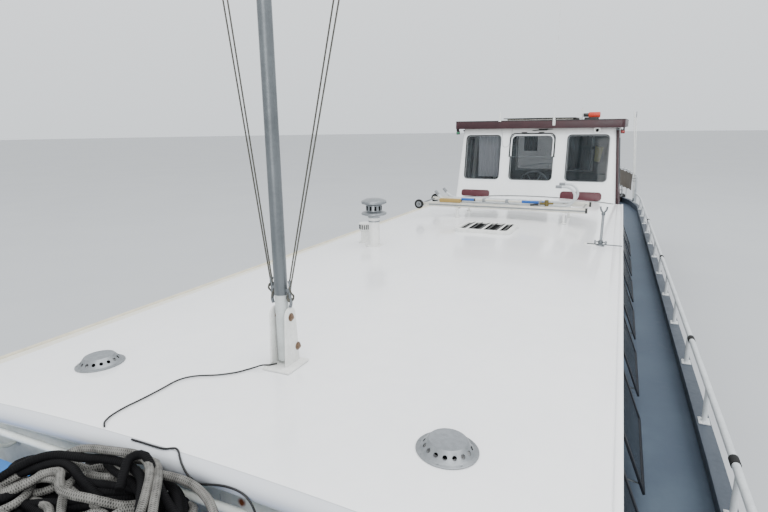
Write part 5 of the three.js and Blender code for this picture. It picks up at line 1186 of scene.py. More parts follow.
def makePoles(z, rows, starboard, port, radius):
    piece = Piece("stowedPoles")
    x0, x1 = rows
    for x, a, b, finish in ((x0, starboard, 0.56, "alloy"), (x1, starboard + 0.12, port, "railWhite")):
        piece.take(rod((x, a, z + 0.004), (x, b, z), radius, sides=20, edge=0.002), finish)
    for x, y, length in ((x0, -0.50, 0.17), (x0, 0.29, 0.28)):
        piece.take(rod((x, y, z + 0.002), (x, y + length, z + 0.001), 0.0185, sides=24, edge=0.005), "gripBlue")
        piece.take(rod((x, y + length, z + 0.001), (x, y + length + 0.02, z + 0.001), 0.021, 0.015, sides=24,
            edge=0.003), "blackPaint")
    for y in (-0.20, 0.10, 0.52):
        piece.take(boxed((x1 - 0.022, y - 0.018, z - 0.022), (x0 + 0.022, y + 0.018, z + 0.022), 0.005),
            "knobGrey")
        piece.take(boxed((x1 - 0.012, y - 0.02, z - 0.043), (x0 + 0.006, y + 0.02, z - 0.018), 0.003),
            "railWhite")
    piece.take(boxed((-0.275, -0.79, 2.7665), (-0.165, -0.50, 2.815), 0.012), "blockYellow")
    # brass tap with a short arm
    piece.take(turned([(0, 0), (0.022, 0), (0.026, 0.02), (0.02, 0.05), (0.024, 0.06), (0.024, 0.075),
        (0, 0.08)], (x0 + 0.02, 0.60, 2.77), steps=24), "bronzeOld")
    piece.take(rod((x0 + 0.02, 0.52, 2.80), (x0 + 0.02, 0.68, 2.806), 0.016, 0.013, sides=16, edge=0.003),
        "bronzeOld")
    piece.take(rod((x0 + 0.02, 0.40, 2.775), (x0 + 0.04, 0.50, 2.79), 0.011, sides=12, edge=0.002),
        "blackPaint")
    piece.done("alloy")


makePoles(**poles)

# Crutch post with a clamp, and the thin rod in its white chock
crutch = {"x": 0.773, "y": 1.301, "top": 2.93, "radius": 0.0138}


def makeCrutch(x, y, top, radius):
    piece = Piece("crutchPost")
    base = roofTop(x, y)
    up = roofUp(x, y)
    piece.take(turned([(0, 0.0005), (0.040, 0.0005), (0.040, 0.005), (0.036, 0.0085), (0.018, 0.0095),
        (0.016, 0.03), (0, 0.03)], (x, y, base + 0.001), up, 36), "steel")
    piece.take(rod((x, y, base + 0.004), (x - 0.0195, y + 0.006, top - 0.058), radius, sides=24), "steel")
    for side in (-1, 1):
        run = [(x - 0.0185, y + 0.005, top - 0.07), (x - 0.0195, y + 0.006 + side * 0.012, top - 0.056),
            (x - 0.0205, y + 0.006 + side * 0.026, top - 0.036), (x - 0.022, y + 0.006 + side * 0.034,
            top - 0.002)]
        piece.take(pipe(smoothed(run, 6), 0.0092, 14), "steelDark")
    piece.take(turned([(0.013, -0.012), (0.019, -0.012), (0.020, 0), (0.019, 0.012), (0.013, 0.012),
        (0.013, -0.012)], (x - 0.0186, y + 0.005, top - 0.078), steps=28), "steelDark")
    piece.done("stainless", ["fork_post"])
    clamp = Piece("crutchClamp", finish="steelDark")
    z = base + 0.036
    clamp.take(turned([(0.0142, -0.016), (0.024, -0.016), (0.026, 0), (0.024, 0.016), (0.0142, 0.016),
        (0.0142, -0.016)], (x, y, z), steps=28))
    for side, lift in ((1, 0.0), (-1, 0.004)):
        spot = Vector((x + 0.012, y + side * 0.022, z + lift))
        clamp.take(rod(spot, spot + Vector((0.010, side * 0.022, 0.002)), 0.006, sides=12))
        clamp.take(turned([(0, -0.010), (0.016, -0.008), (0.019, 0), (0.016, 0.008), (0, 0.010)],
            spot + Vector((0.013, side * 0.03, 0.002)), (0.3, side, 0.1), 24), "knobGrey")
    chock = roofTop(x + 0.02, y)
    clamp.take(boxed((x - 0.06, y - 0.20, chock + 0.0008 - 0.012), (x + 0.065, y - 0.045, chock + 0.014),
        0.006), "fittingWhite")
    clamp.take(rod((x + 0.035, y - 0.13, chock + 0.020), (x + 0.02, y + 0.21, chock + 0.012), 0.0062, sides=12,
        edge=0.001))
    clamp.done("stainless")


makeCrutch(**crutch)
print("stage: gangway, ladder and poles stowed")

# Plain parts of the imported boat, taken over with softened edges and smooth faces
# name: (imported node, finish, slot, softening in metres, sharp angle)
dressings = {
    "hullBow": ("hull_bow", "hullPaint", "hull_paint", 0.006, 25),
    "hullMiddle": ("hull_middle", "hullPaint", "hull_paint", 0.004, 25),
    "hullStern": ("hull_stern", "hullPaint", "hull_paint", 0.004, 25),
    "deckPlates": ("deck", "deckBlue", "deck_paint", 0, 25),
    "bulwarkPlates": ("bulwark", "capBlue", "cap_paint", 0.004, 25),
    "rubStrake": ("rub_strake", "rubber", "rubber_black", 0.006, 40),
    "cabinSidePort": ("cabin_side_port", "wallWhite", "cabin_paint", 0.003, 35),
    "cabinSideStarboard": ("cabin_side_starboard", "wallWhite", "cabin_paint", 0.003, 35),
    "cabinFront": ("cabin_front", "wallPale", "cabin_paint", 0, 40),
    "houseSidePort": ("wheelhouse_side_port", "houseWhite", "roof_gloss", 0.004, 30),
    "houseSideStarboard": ("wheelhouse_side_starboard", "houseWhite", "roof_gloss", 0.004, 30),
    "houseBack": ("wheelhouse_back", "houseWhite", "roof_gloss", 0.004, 30),
    "houseTop": ("wheelhouse_roof", "houseWhite", "roof_gloss", 0, 30),
    "doorPort": ("door_port", "maroon", "maroon_paint", 0.003, 30),
    "doorStarboard": ("door_starboard", "maroon", "maroon_paint", 0.003, 30),
    "consoleBody": ("console", "mahogany", "mahogany", 0.006, 35),
    "rudderBlade": ("rudder", "hullPaint", "hull_paint", 0.004, 35),
    "screw": ("propeller", "bronze", "bronze", 0.0015, 40),
    "windlassFrame": ("windlass_frame", "hullNavy", "black_paint", 0.006, 35),
    "windlassDrum": ("windlass_drum", "hullNavy", "black_paint", 0.004, 35),
    "aftBitts": ("bitts_aft", "blackPaint", "black_paint", 0.01, 40),
    "foreBitts": ("bitts_fore", "blackPaint", "black_paint", 0.01, 40),
    "engineBlock": ("engine", "engineGreen", "engine_paint", 0.012, 35),
}
# The ones that move, and the body that each rides on
movers = {"doorPort": "door_port", "doorStarboard": "door_starboard", "rudderBlade": "rudder",
    "screw": "propeller", "windlassDrum": "windlass_drum"}


def makeHullPaint():  # navy topsides, dark red-brown below the waterline, with a scummed band between
    finish = Finish("hullPaint", coat=0.15, coatRough=0.15)
    height = finish.axis("Z")
    cloud = finish.noise(0.8, 6.0, 0.6)
    streak = finish.noise(3.0, 5.0, 0.6, finish.placed((4.0, 4.0, 0.35)))
    topside = finish.mix(finish.ramp(cloud * 0.5 + streak * 0.5, 0.45, 0.75) * 0.7, rgb("141e2e"),
        rgb("2b3743"))
    below = finish.mix(finish.ramp(finish.noise(5.0, 6.0, 0.65), 0.4, 0.7), rgb("3a1a18"), rgb("4c2f28"))
    wet = finish.mix(finish.ramp(height + streak * 0.05, 0.865, 0.885), below, topside)
    scum = finish.ramp(height + streak * 0.09, 0.78, 0.86) * finish.ramp(height + streak * 0.06, 0.99, 0.90)
    finish.feed("Base Color", finish.mix(scum * 0.55, wet, rgb("47493b")))
    finish.feed("Roughness", 0.28 + finish.ramp(streak, 0.4, 0.7) * 0.2)
    normal = finish.bump(finish.noise(120.0, 2.0, 0.5), 0.08, 0.001)
    finish.feed("Normal", finish.bump(finish.noise(1.3, 1.0, 0.4), 0.4, 0.014, under=normal))
    return finish


def makeWood():  # brown varnished boards
    finish = Finish("mahogany", coat=0.4, coatRough=0.12)
    grain = finish.noise(9.0, 6.0, 0.6, finish.placed((1.0, 0.12, 1.0)))
    fine = finish.noise(70.0, 4.0, 0.6, finish.placed((1.0, 0.06, 1.0)))
    finish.feed("Base Color", finish.mix(finish.ramp(grain * 0.6 + fine * 0.4, 0.38, 0.66), rgb("3b1c12"),
        rgb("6a3a22")))
    finish.feed("Roughness", 0.28 + fine * 0.15)
    finish.feed("Normal", finish.bump(fine, 0.12, 0.0008))
    return finish


paints["hullPaint"] = makeHullPaint()
paints["mahogany"] = makeWood()


def dress(name, node, finish, slot, edge, sharp):
    source = nodes[node]
    part = bmesh.new()
    part.from_mesh(source.data)
    bmesh.ops.transform(part, matrix=source.matrix_world, verts=part.verts)
    bmesh.ops.remove_doubles(part, verts=part.verts, dist=2e-5)
    bmesh.ops.dissolve_limit(part, angle_limit=radians(0.4), verts=part.verts, edges=part.edges)
    bmesh.ops.recalc_face_normals(part, faces=part.faces)
    if edge:
        rims = [e for e in part.edges if len(e.link_faces) == 2 and e.calc_face_angle() > radians(50)]
        soften(part, rims, edge, clamp=True)
    piece = Piece(name, movers.get(name, "barge"))
    piece.take(part, finish)
    piece.done(slot, [node], sharp)


for name, dressing in dressings.items():
    dress(name, *dressing)
print("stage: plain parts dressed")

# Cabin front: a doubler plate with a rust run, rail feet, and the locker's lid
frontGear = {"face": 5.3601, "pad": (0.305, 2.368, 0.155, 0.118), "mark": (0.226, 2.382),
    "railFeet": (1.012, 0.3373, -0.3373, -1.012), "footZ": 2.32, "locker": (5.52, 6.05, -1.20, 0.56, 2.36)}


def makeRust(name, place):
    finish = makeLook(name, "eef0e9", "c3c7bd", 8.0, 0.5, (0.35, 0.5), 0.05, 200)
    streak = finish.noise(30.0, 4.0, 0.7, finish.placed((1.0, 1.0, 0.3)))
    base = finish.shader.inputs["Base Color"].links[0].from_socket
    stain = finish.ramp(finish.near(place, 0.045) + streak * 0.5, 0.75, 1.0)
    finish.feed("Base Color", finish.mix(stain, Signal(finish, base), rgb("7a3d17")))
    return finish


paints["rustPlate"] = makeRust("rustPlate", (5.364, 0.331, 2.392))


def makeFront(face, pad, mark, railFeet, footZ, locker):
    piece = Piece("frontPlate")
    y, z, width, height = pad
    across = Matrix(((0, 0, 1), (1, 0, 0), (0, 1, 0))).to_4x4()  # faces forward
    x = face + 0.0004
    piece.take(plate(width, height, 0.004, 0.03, Matrix(), 0.001), "rustPlate",
        Matrix.Translation((x, y, z)) @ across)
    y, z = mark
    # a short dark mark at the plate's edge, coloured with the painted hole shade
    piece.take(boxed((x - 0.002, y - 0.002, z - 0.012), (x + 0.0015, y + 0.002, z + 0.012), 0.0008),
        "holeShade")
    for y in railFeet:
        piece.take(turned([(0, 0), (0.028, 0), (0.028, 0.003), (0.024, 0.005), (0.0125, 0.005), (0, 0.006)],
            (x, y, footZ), (1, 0, 0), 28), "fittingWhite")
        for k in range(3):
            turn = radians(90 + 120 * k)
            piece.take(turned([(0, 0), (0.004, 0), (0.003, 0.002), (0, 0.0025)],
                (x + 0.0045, y + 0.021 * cos(turn), footZ + 0.021 * sin(turn)), (1, 0, 0), 10), "steel")
    piece.done("cabin_paint")
    aft, fore, starboard, port, top = locker
    box = Piece("lockerBox")
    low = min(v.co.z for v in nodes["rope_locker"].data.vertices)
    box.take(boxed((aft, starboard, low), (fore, port, top - 0.034), 0.006), "lockerBlue")
    box.take(boxed((aft + 0.0005, starboard + 0.0005, top - 0.031), (fore - 0.0005, port - 0.0005, top), 0.007),
        "lockerBlue")
    # the gap under the lid is filled with a dark strip of painted shade
    box.take(boxed((aft + 0.02, starboard + 0.02, top - 0.036), (fore - 0.02, port - 0.02, top - 0.029)),
        "holeShade")
    box.done("locker_paint", ["rope_locker"])
    trim = Piece("lockerTrim", finish="steel")
    for y in (-0.9, -0.32, 0.26):
        trim.take(boxed((fore - 0.0005, y - 0.03, top - 0.09), (fore + 0.004, y + 0.03, top - 0.012), 0.0015))
        trim.take(rod((fore + 0.006, y - 0.03, top - 0.032), (fore + 0.006, y + 0.03, top - 0.032), 0.006,
            sides=16, edge=0.001))
    for y in (starboard + 0.2, port - 0.25):
        grip = [(fore, y - 0.07, top - 0.2), (fore + 0.03, y - 0.06, top - 0.2),
            (fore + 0.03, y + 0.06, top - 0.2), (fore, y + 0.07, top - 0.2)]
        trim.take(pipe(smoothed(grip, 5), 0.006, 12))
    trim.done("stainless")


makeFront(**frontGear)
print("stage: cabin front and locker fitted")

# Rails: round tube on posts with foot plates, black sleeves at the joints
sheer = ((-9.15, 0.38, 1.85), (-9.02, 0.80, 1.835), (-8.6, 1.27, 1.81), (-8.0, 1.56, 1.785), (-7.1, 1.735, 1.76),
         (-5.9, 1.785, 1.75), (-4.7, 1.83, 1.75), (-2.0, 1.935, 1.75), (1.0, 2.05, 1.75), (3.5, 2.145, 1.75),
         (4.9, 2.18, 1.775), (6.2, 2.12, 1.86), (7.3, 1.86, 1.975))
capInset = 0.025
rails = {"height": 0.238, "tube": 0.020, "post": 0.016, "fore": 6.90, "aft": -7.50, "pitch": 0.965,
    "nose": 0.26, "upright": 0.62, "sleeves": (-3.6, -0.7, 2.19, 3.9), "sleeve": 0.0245,
    "sternFeet": (-7.64, -8.27, -8.76, -9.07), "sternTop": 2.56, "sternSlope": 0.12, "sternPost": 0.015}


def onCap(x, rise, inset=capInset):
    a, b = next(pair for pair in zip(sheer, sheer[1:]) if pair[1][0] >= x or pair[1] is sheer[-1])
    share = (x - a[0]) / (b[0] - a[0])
    cap = [row[2] + 0.14 + 0.2 * max(row[0] - 4.9, 0) / 4.25 for row in (a, b)]
    run = Vector((b[0] - a[0], b[1] - a[1])).normalized()
    return Vector((x + run.y * inset, a[1] + (b[1] - a[1]) * share - run.x * inset,
        cap[0] + (cap[1] - cap[0]) * share + rise))


def makeRails(height, tube, post, fore, aft, pitch, nose, upright, sleeves, sleeve, sternFeet, sternTop,
        sternSlope, sternPost):
    marks = [fore - pitch * i for i in range(15)]
    marks = [x for x in marks if x > aft + 0.3]
    line = smoothed([onCap(fore + nose, 0.012)] + [onCap(x, height) for x in [*marks, aft]], 6)
    for side, node, name in ((1, "rail_port", "portRail"), (-1, "rail_starboard", "starboardRail")):
        piece = Piece(name, finish="railWhite")
        turn = handed(side)
        piece.take(pipe(line, tube, 20), turn=turn)
        for x in marks:
            piece.take(rod(onCap(x, 0.001), onCap(x, height - 0.004), post, sides=20), turn=turn)
            foot = onCap(x, 0.0004)
            piece.take(boxed(foot - Vector((0.045, 0.033, 0)), foot + Vector((0.045, 0.033, 0.006)), 0.0018),
                turn=turn)
            piece.take(turned([(0, 0), (0.021, 0), (0.0165, 0.007), (0, 0.008)], foot + Vector((0, 0, 0.0055)),
                steps=20), turn=turn)
            for u, v in ((0.034, 0.022), (-0.034, 0.022), (0.034, -0.022), (-0.034, -0.022)):
                spot = foot + Vector((u, v, 0.0055))
                piece.take(turned([(0, 0), (0.006, 0), (0.006, 0.003), (0.004, 0.0045), (0, 0.005)], spot,
                    steps=6), "fittingWhite", turn)
        piece.take(rod(onCap(aft, 0.001), onCap(aft, upright), tube, sides=20, edge=0.006), turn=turn)
        for x in sleeves:
            ends = [onCap(x + step, height) for step in (-0.035, 0.035)]
            piece.take(rod(*ends, sleeve, sides=20, edge=0.003), "rubber", turn)
        piece.done("rail_paint", [node], 40)
    stern = Piece("sternRail", finish="railWhite")
    tops = [onCap(x, 0) for x in sternFeet]
    for spot, x in zip(tops, sternFeet):
        spot.z = sternTop + (sternFeet[0] - x) * sternSlope
    over = tops + [Vector((p.x, -p.y, p.z)) for p in reversed(tops)]
    stern.take(pipe(smoothed(over, 8), tube, 20))
    for side in (1, -1):
        turn = handed(side)
        for spot, x in zip(tops, sternFeet):
            foot = onCap(x, 0.0006)
            stern.take(rod(foot, spot, sternPost, sides=18), turn=turn)
            stern.take(turned([(0, 0), (0.034, 0), (0.034, 0.005), (0.018, 0.009), (0, 0.01)], foot, steps=24),
                turn=turn)
    stern.done("rail_paint", ["stern_rail"], 40)


makeRails(**rails)

# Sheets of cloth: a grid shaped by a rule, then given its thickness
def clothPiece(name, across, down, shape, finish, slot, thick=0.0014):
    part = bmesh.new()
    bmesh.ops.create_grid(part, x_segments=across, y_segments=down, size=1)
    for vert in part.verts:
        vert.co = shape((vert.co.x + 1) / 2, (1 - vert.co.y) / 2)
    rows = [[Vector(shape(i / across, j / down)) for i in range(across + 1)] for j in range(down + 1)]
    width = max(curveLength(row) for row in rows)
    length = sum(curveLength([row[i] for row in rows]) for i in (0, across // 2, across)) / 3
    area = sum(f.calc_area() for f in part.faces)
    bmesh.ops.solidify(part, geom=part.faces[:], thickness=thick)
    cloth = Piece(name).take(part, finish).done(slot, sharp=80)
    return cloth


def makeCloth(name, colour, worn, threads, sheen):
    finish = makeLook(name, colour, worn, 6.0, 0.5, (0.75, 0.92), 0.25, 900, 0.0,
        {"sheen": sheen, "specular": 0.2})
    weave = finish.node("TexWave", {"bands_direction": "Z"}, {"Vector": finish.spots, "Scale": threads,
        "Distortion": 0.6})
    base = Signal(finish, finish.shader.inputs["Base Color"].links[0].from_socket)
    finish.feed("Base Color", finish.mix(finish.ramp(weave, 0.3, 1.0) * 0.25, base, rgb(worn)))
    return finish


for name, values in {"clothTaupe": ("5d564d", "464139", 240.0, 0.2), "clothPale": ("c9ccd2", "a4a8b0", 300.0,
        0.3), "clothMaroon": ("2a0c12", "3a1a1f", 260.0, 0.3), "clothDark": ("2b2523", "3a3230", 260.0, 0.2),
        "clothYellow": ("d8cd62", "b9ad52", 300.0, 0.2), "clothBlack": ("0c0c0e", "1c1c1e", 300.0,
        0.1)}.items():
    paints[name] = makeCloth(name, *values)

sternCloth = {"aft": -8.80, "fore": -7.98, "drop": 0.40, "scallops": 5, "sag": 0.018}


def makeSternCloth(aft, fore, drop, scallops, sag):
    def railAt(x):
        spot = onCap(x, 0)
        spot.z = rails["sternTop"] + (rails["sternFeet"][0] - x) * rails["sternSlope"]
        return spot

    def shape(s, t):
        spot = railAt(fore + (aft - fore) * s)
        edge = 0.030 + sag * sin(pi * scallops * s) ** 2
        inward = Vector((0.5, -0.85, 0)).normalized() * (0.022 + 0.012 * sin(9 * s + 3 * t) * t)
        return spot + inward - Vector((0, 0, edge + drop * t))

    ties = Piece("clothTies")
    for i in range(scallops + 1):
        spot = railAt(fore + (aft - fore) * (0.01 + 0.98 * i / scallops))
        inward = Vector((0.5, -0.85, 0)).normalized()
        ring = [spot + inward * (0.001 + 0.0245 * cos(a)) + Vector((0, 0,
            0.0245 * sin(a) - 0.009 * (sin(a) < 0))) for a in around(16)]
        ties.take(pipe(ring, 0.0028, 8, closed=True), "clothBlack")
    tied = ties.done("rail_paint")
    clothPiece("sternCloth", 60, 12, shape, "clothTaupe", "vinyl")


makeSternCloth(**sternCloth)

# Two poles stand by the port quarter, lashed to the stern rail's first post
quarterPoles = {"wood": ((-7.69, 1.585, 1.94), (-7.66, 1.44, 4.02), 0.017),
    "hook": ((-7.745, 1.60, 1.94), (-7.71, 1.49, 3.90), 0.015)}


def makeQuarterPoles(poles):
    piece = Piece("quarterPoles")
    for foot, tip, radius in poles.values():
        piece.take(rod(foot, tip, radius, radius * 0.85, sides=18, edge=0.004), "fittingWhite")
        piece.take(rod(foot, Vector(foot).lerp(Vector(tip), 0.035), radius + 0.003, sides=18, edge=0.002),
            "steelDark")
    tip = Vector(poles["hook"][1])
    piece.take(pipe(smoothed([tip, tip + Vector((0, 0, 0.08)), tip + Vector((0.02, 0, 0.13)),
        tip + Vector((0.06, 0, 0.12)), tip + Vector((0.07, 0, 0.07))], 5), 0.007, 12), "steelDark")
    for z in (2.44, 2.50):
        share = (z - 1.94) / 2.08
        places = [Vector(a).lerp(Vector(b), share) for a, b, _ in poles.values()]
        middle = (places[0] + places[1]) / 2 + Vector((0.012, 0.012, 0))
        ring = [middle + Vector((0.068 * cos(a), 0.042 * sin(a), 0.004 * sin(2 * a))) for a in around(24)]
        piece.take(pipe(ring, 0.005, 10, closed=True), "clothBlack")
    piece.done("rail_paint")


makeQuarterPoles(quarterPoles)

# Two black fenders lie on the after deck, by the port bulwark
fenders = {"deck": 1.8262, "radius": 0.10, "half": 0.27, "places": ((-8.36, 1.20, 38.0), (-8.60, 0.93, 52.0))}


def makeFenders(deck, radius, half, places):
    profile = [(0, -half)] + [(radius * sin(a), -half + radius * 0.75 * (1 - cos(a)))
        for a in (pi / 2 * k / 8 for k in range(1, 9))]
    profile += [(r, -z) for r, z in reversed(profile)]
    piece = Piece("deckFenders", finish="rubber")
    for x, y, heading in places:
        aim = Vector((cos(radians(heading)), -sin(radians(heading)), 0))
        centre = Vector((x, y, deck + radius))
        piece.take(turned(profile, centre, aim, 32))
        for end in (-1, 1):
            tip = centre + aim * end * (half - 0.004)
            piece.take(rod(tip, tip + aim * end * 0.035, 0.028, 0.02, sides=20, edge=0.004))
            ring = [tip + aim * end * (0.052 + 0.02 * cos(a)) + Vector((0, 0, 0.02 * sin(a)))
                for a in around(20)]
            piece.take(pipe(ring, 0.007, 10, closed=True))
    piece.done("rubber_black")


makeFenders(**fenders)
print("stage: rails, cloth and poles fitted")

# Cabin sides: seven hopper panes a side, hinged at the top and held open by stays
hoppers = {"first": -1.90, "pitch": 1.11, "count": 7, "inset": 0.035, "hinge": 2.345, "out": 0.022,
    "open": 21.0, "width": 0.798, "height": 0.454, "thick": 0.0125, "corner": 0.02, "frame": 0.034,
    "hole": (0.76, 0.40, 1.92, 0.06), "stay": 0.35}


def cabinSeat(side, x, z, out=0.0):  # on the cabin side: X forward, Y up, Z outboard (mirrored to starboard)
    across = Vector((1, roof["taper"], 0)).normalized()
    spot = Vector((0, roofHalf(0) - hoppers["inset"], 0)) + across * x + Vector((0, 0, z))
    outboard = Vector((-across.y, across.x, 0))
    seat = Matrix((across, Vector((0, 0, 1)), -outboard)).transposed().to_4x4()
    seat = Matrix.Translation(spot + outboard * out) @ seat @ Matrix.Scale(-1, 4, (0, 0, 1))
    return handed(side) @ seat


def makeHoppers(size):
    for side, node, name in ((1, "cabin_windows_port", "portHoppers"), (-1, "cabin_windows_starboard",
            "starboardHoppers")):
        piece = Piece(name, finish="hopperFrame")
        bar = cabinSeat(side, 0, size["hinge"], 0.0004)
        piece.take(boxed((-2.36, -0.005, 0), (5.25, 0.030, 0.0215), 0.003), turn=bar)
        for i in range(size["count"]):
            x = size["first"] + size["pitch"] * i
            holeWide, holeTall, holeLow, holeRound = size["hole"]
            ring = cabinSeat(side, x, holeLow + holeTall / 2, 0.0005)
            piece.take(plate(holeWide + 0.036, holeTall + 0.036, 0.008, holeRound + 0.018, Matrix(), 0.002,
                band=0.032), turn=ring)
            leaf = cabinSeat(side, x, size["hinge"], size["out"]) @ Matrix.Rotation(radians(-size["open"]), 4,
                "X")
            middle = Matrix.Translation((0, 0.006 - size["height"] / 2, -size["thick"] + 0.0018))
            piece.take(plate(size["width"], size["height"], size["thick"], size["corner"], middle, 0.0025,
                band=size["frame"]), turn=leaf)
            inner = Matrix.Translation((0, 0.006 - size["height"] / 2, -0.0065))
            piece.take(plate(size["width"] - 2 * size["frame"] + 0.008, size["height"] - 2 * size["frame"]
                + 0.008, 0.004, 0.012, inner), "hopperGlass", leaf)
            for u in (-0.36, 0.36):
                top = leaf @ Vector((u, -0.40, -0.012))
                base = cabinSeat(side, x + u, size["hinge"] - size["stay"], 0.010) @ Vector((0, 0, 0))
                piece.take(rod(top, base, 0.0045, sides=12), "steelDark")
                piece.take(turned([(0, 0), (0.012, 0), (0.012, 0.006), (0, 0.008)], base, (0, side, 0), 16),
                    "steelDark")
                knuckle = boxed((u - 0.03, -0.018, -0.004), (u + 0.03, 0.018, 0.008), 0.003)
                piece.take(knuckle, "steelDark", leaf)
        piece.done("glass", [node])


makeHoppers(hoppers)

# Wheelhouse sides and back: window frames, door frames and pulls, corner beads, a step and vents
# on the wheelhouse side: X forward, Y up, Z outboard (mirrored to starboard)
def sideSeat(side, x, z, out=0.0):
    lean = Vector((0, 1, house["tumble"])).normalized()
    up = Vector((0, -house["tumble"], 1)).normalized()
    spot = Vector((x, house["half"] - house["tumble"] * (z - house["foot"]), z)) + lean * out
    seat = Matrix.Translation(spot) @ Matrix((Vector((1, 0, 0)), up, lean)).transposed().to_4x4()
    return handed(side) @ seat


houseSides = {"glass": (-4.70, 3.18, 0.60, 0.76, 0.07), "doorGlass": (-3.305, 3.145, 0.48, 0.79, 0.06),
    "doorOut": 0.041, "backGlass": (1.50, 0.71, 3.205, 0.08), "back": -5.1803, "pull": (-3.58, 2.62),
    "grabZ": 2.48}


def makeHouseSides(glass, doorGlass, doorOut, backGlass, back, pull, grabZ):
    fixed = Piece("houseSideTrim", finish="frameWhite")
    for side in (1, -1):
        x, z, width, height, corner = glass
        seat = sideSeat(side, x, z, 0.0004)
        fixed.take(plate(width + 0.04, height + 0.04, 0.0045, corner + 0.02, Matrix(), 0.0015, band=0.026),
            turn=seat)
        fixed.take(plate(width - 0.001, height - 0.001, 0.016, corner, Matrix.Translation((0, 0, -0.017)), 0,
            band=0.007), "rubber", seat)
        for u in (-4.335, -2.925):
            fixed.take(boxed((-0.006, -0.013, 0), (0.006, 0.013, 0.05), 0.002), "steelDark",
                sideSeat(side, u, 3.672, 0.0004))
        z = grabZ
        grip = [(-5.08, 0.001), (-5.08, 0.045), (-5.05, 0.058), (-4.45, 0.058), (-4.42, 0.045), (-4.42, 0.001)]
        fixed.take(pipe(smoothed([sideSeat(side, u, z, out) @ Vector((0, 0, 0)) for u, out in grip], 4), 0.011,
            14), "steel")
        for u in (-5.08, -4.42):
            fixed.take(turned([(0, 0), (0.027, 0), (0.027, 0.003), (0.014, 0.006), (0, 0.007)], steps=24),
                "steel", sideSeat(side, u, z, 0.0004))
        fixed.take(boxed((-0.10, -0.05, 0), (0.10, 0.05, 0.012), 0.004), "fittingWhite",
            sideSeat(side, -4.70, 3.655, 0.0004))
        for k in range(5):
            fixed.take(boxed((-0.085, -0.036 + 0.017 * k, 0.011), (0.085, -0.030 + 0.017 * k, 0.015), 0.001),
                "steelDark", sideSeat(side, -4.70, 3.655, 0.0004))
    wide, tall, z, corner = backGlass
    turn = Matrix(((0, 0, -1), (-1, 0, 0), (0, 1, 0))).to_4x4()
    aft = Matrix.Translation((back - 0.0003, 0, z)) @ turn
    fixed.take(plate(wide + 0.05, tall + 0.05, 0.005, corner + 0.025, Matrix(), 0.0015, band=0.032), turn=aft)
    fixed.take(plate(wide - 0.001, tall - 0.001, 0.018, corner, Matrix.Translation((0, 0, -0.019)), 0,
        band=0.008), "rubber", aft)
    fixed.take(boxed((-0.02, -tall / 2, -0.02), (0.02, tall / 2, 0.004), 0.003), turn=aft)
    for y in (-1.0, 1.0):  # hand rails beside the window
        grip = [(y, -0.35, 0.001), (y, -0.35, 0.05), (y, -0.32, 0.062), (y, 0.22, 0.062), (y, 0.25, 0.05),
            (y, 0.25, 0.001)]
        fixed.take(pipe(smoothed([aft @ Vector(p) for p in grip], 4), 0.011, 14), "steel")
    fixed.take(turned([(0, 0), (0.062, 0), (0.062, 0.03), (0.05, 0.045), (0.044, 0.045), (0.044, 0.03),
        (0, 0.026)], steps=32), "fittingWhite", aft @ Matrix.Translation((0, 0.46, 0)))
    fixed.take(turned([(0, 0.026), (0.043, 0.031), (0.038, 0.042), (0, 0.05)], steps=32), "dialWhite",
        aft @ Matrix.Translation((0, 0.46, 0)))
    fixed.done("white_fittings")
    for side, body, name in ((1, "door_port", "portDoorTrim"), (-1, "door_starboard", "starboardDoorTrim")):
        leaf = Piece(name, body, finish="steel")
        x, z, width, height, corner = doorGlass
        seat = sideSeat(side, x, z, doorOut + 0.0004)
        leaf.take(plate(width + 0.036, height + 0.036, 0.005, corner + 0.018, Matrix(), 0.0015, band=0.026),
            "steelFlat", seat)
        leaf.take(plate(width - 0.001, height - 0.001, 0.010, corner, Matrix.Translation((0, 0, -0.011)), 0,
            band=0.006), "rubber", seat)
        for low, high in ((1.86, 2.25), (2.29, 2.66)):
            leaf.take(plate(0.56, high - low, 0.006, 0.02, Matrix(), 0.0025, band=0.03), "maroonDark",
                sideSeat(side, -3.305, (low + high) / 2, doorOut + 0.0003))
        x, z = pull
        grip = [(0, -0.09, 0.001), (0, -0.09, 0.03), (0, -0.075, 0.038), (0, 0.075, 0.038), (0, 0.09, 0.03),
            (0, 0.09, 0.001)]
        seat = sideSeat(side, x, z, doorOut)
        leaf.take(pipe(smoothed([Vector(p) for p in grip], 4), 0.008, 14), turn=seat)
        for v in (-0.09, 0.09):
            leaf.take(turned([(0, 0), (0.017, 0), (0.017, 0.003), (0.009, 0.005), (0, 0.006)], (0, v, 0.0004),
                steps=20), turn=seat)
        leaf.take(turned([(0, 0), (0.022, 0), (0.022, 0.004), (0.012, 0.008), (0, 0.009)], (0, -0.17, 0.0004),
            steps=24), turn=seat)
        leaf.done("maroon_paint")


makeHouseSides(**houseSides)
print("stage: cabin and wheelhouse sides fitted")

# Inside the wheelhouse: boarded walls, curtains, a padded seat, the wheel and the console's instruments
inside = {"aft": -5.12, "board": 0.006, "gap": 0.053, "ceiling": 3.740,
    "sides": ((-5.12, -5.02, 1.80, 3.70), (-4.38, -3.64, 1.80, 3.70), (-5.02, -4.38, 1.80, 2.785),
    (-5.02, -4.38, 3.575, 3.70), (-3.64, -2.97, 3.66, 3.70), (-2.97, -2.88, 1.80, 3.70)),
    "back": ((-1.17, 1.17, 3.58, 3.70), (-1.17, 1.17, 1.80, 2.83), (-1.17, -0.77, 2.83, 3.58),
    (0.77, 1.17, 2.83, 3.58))}


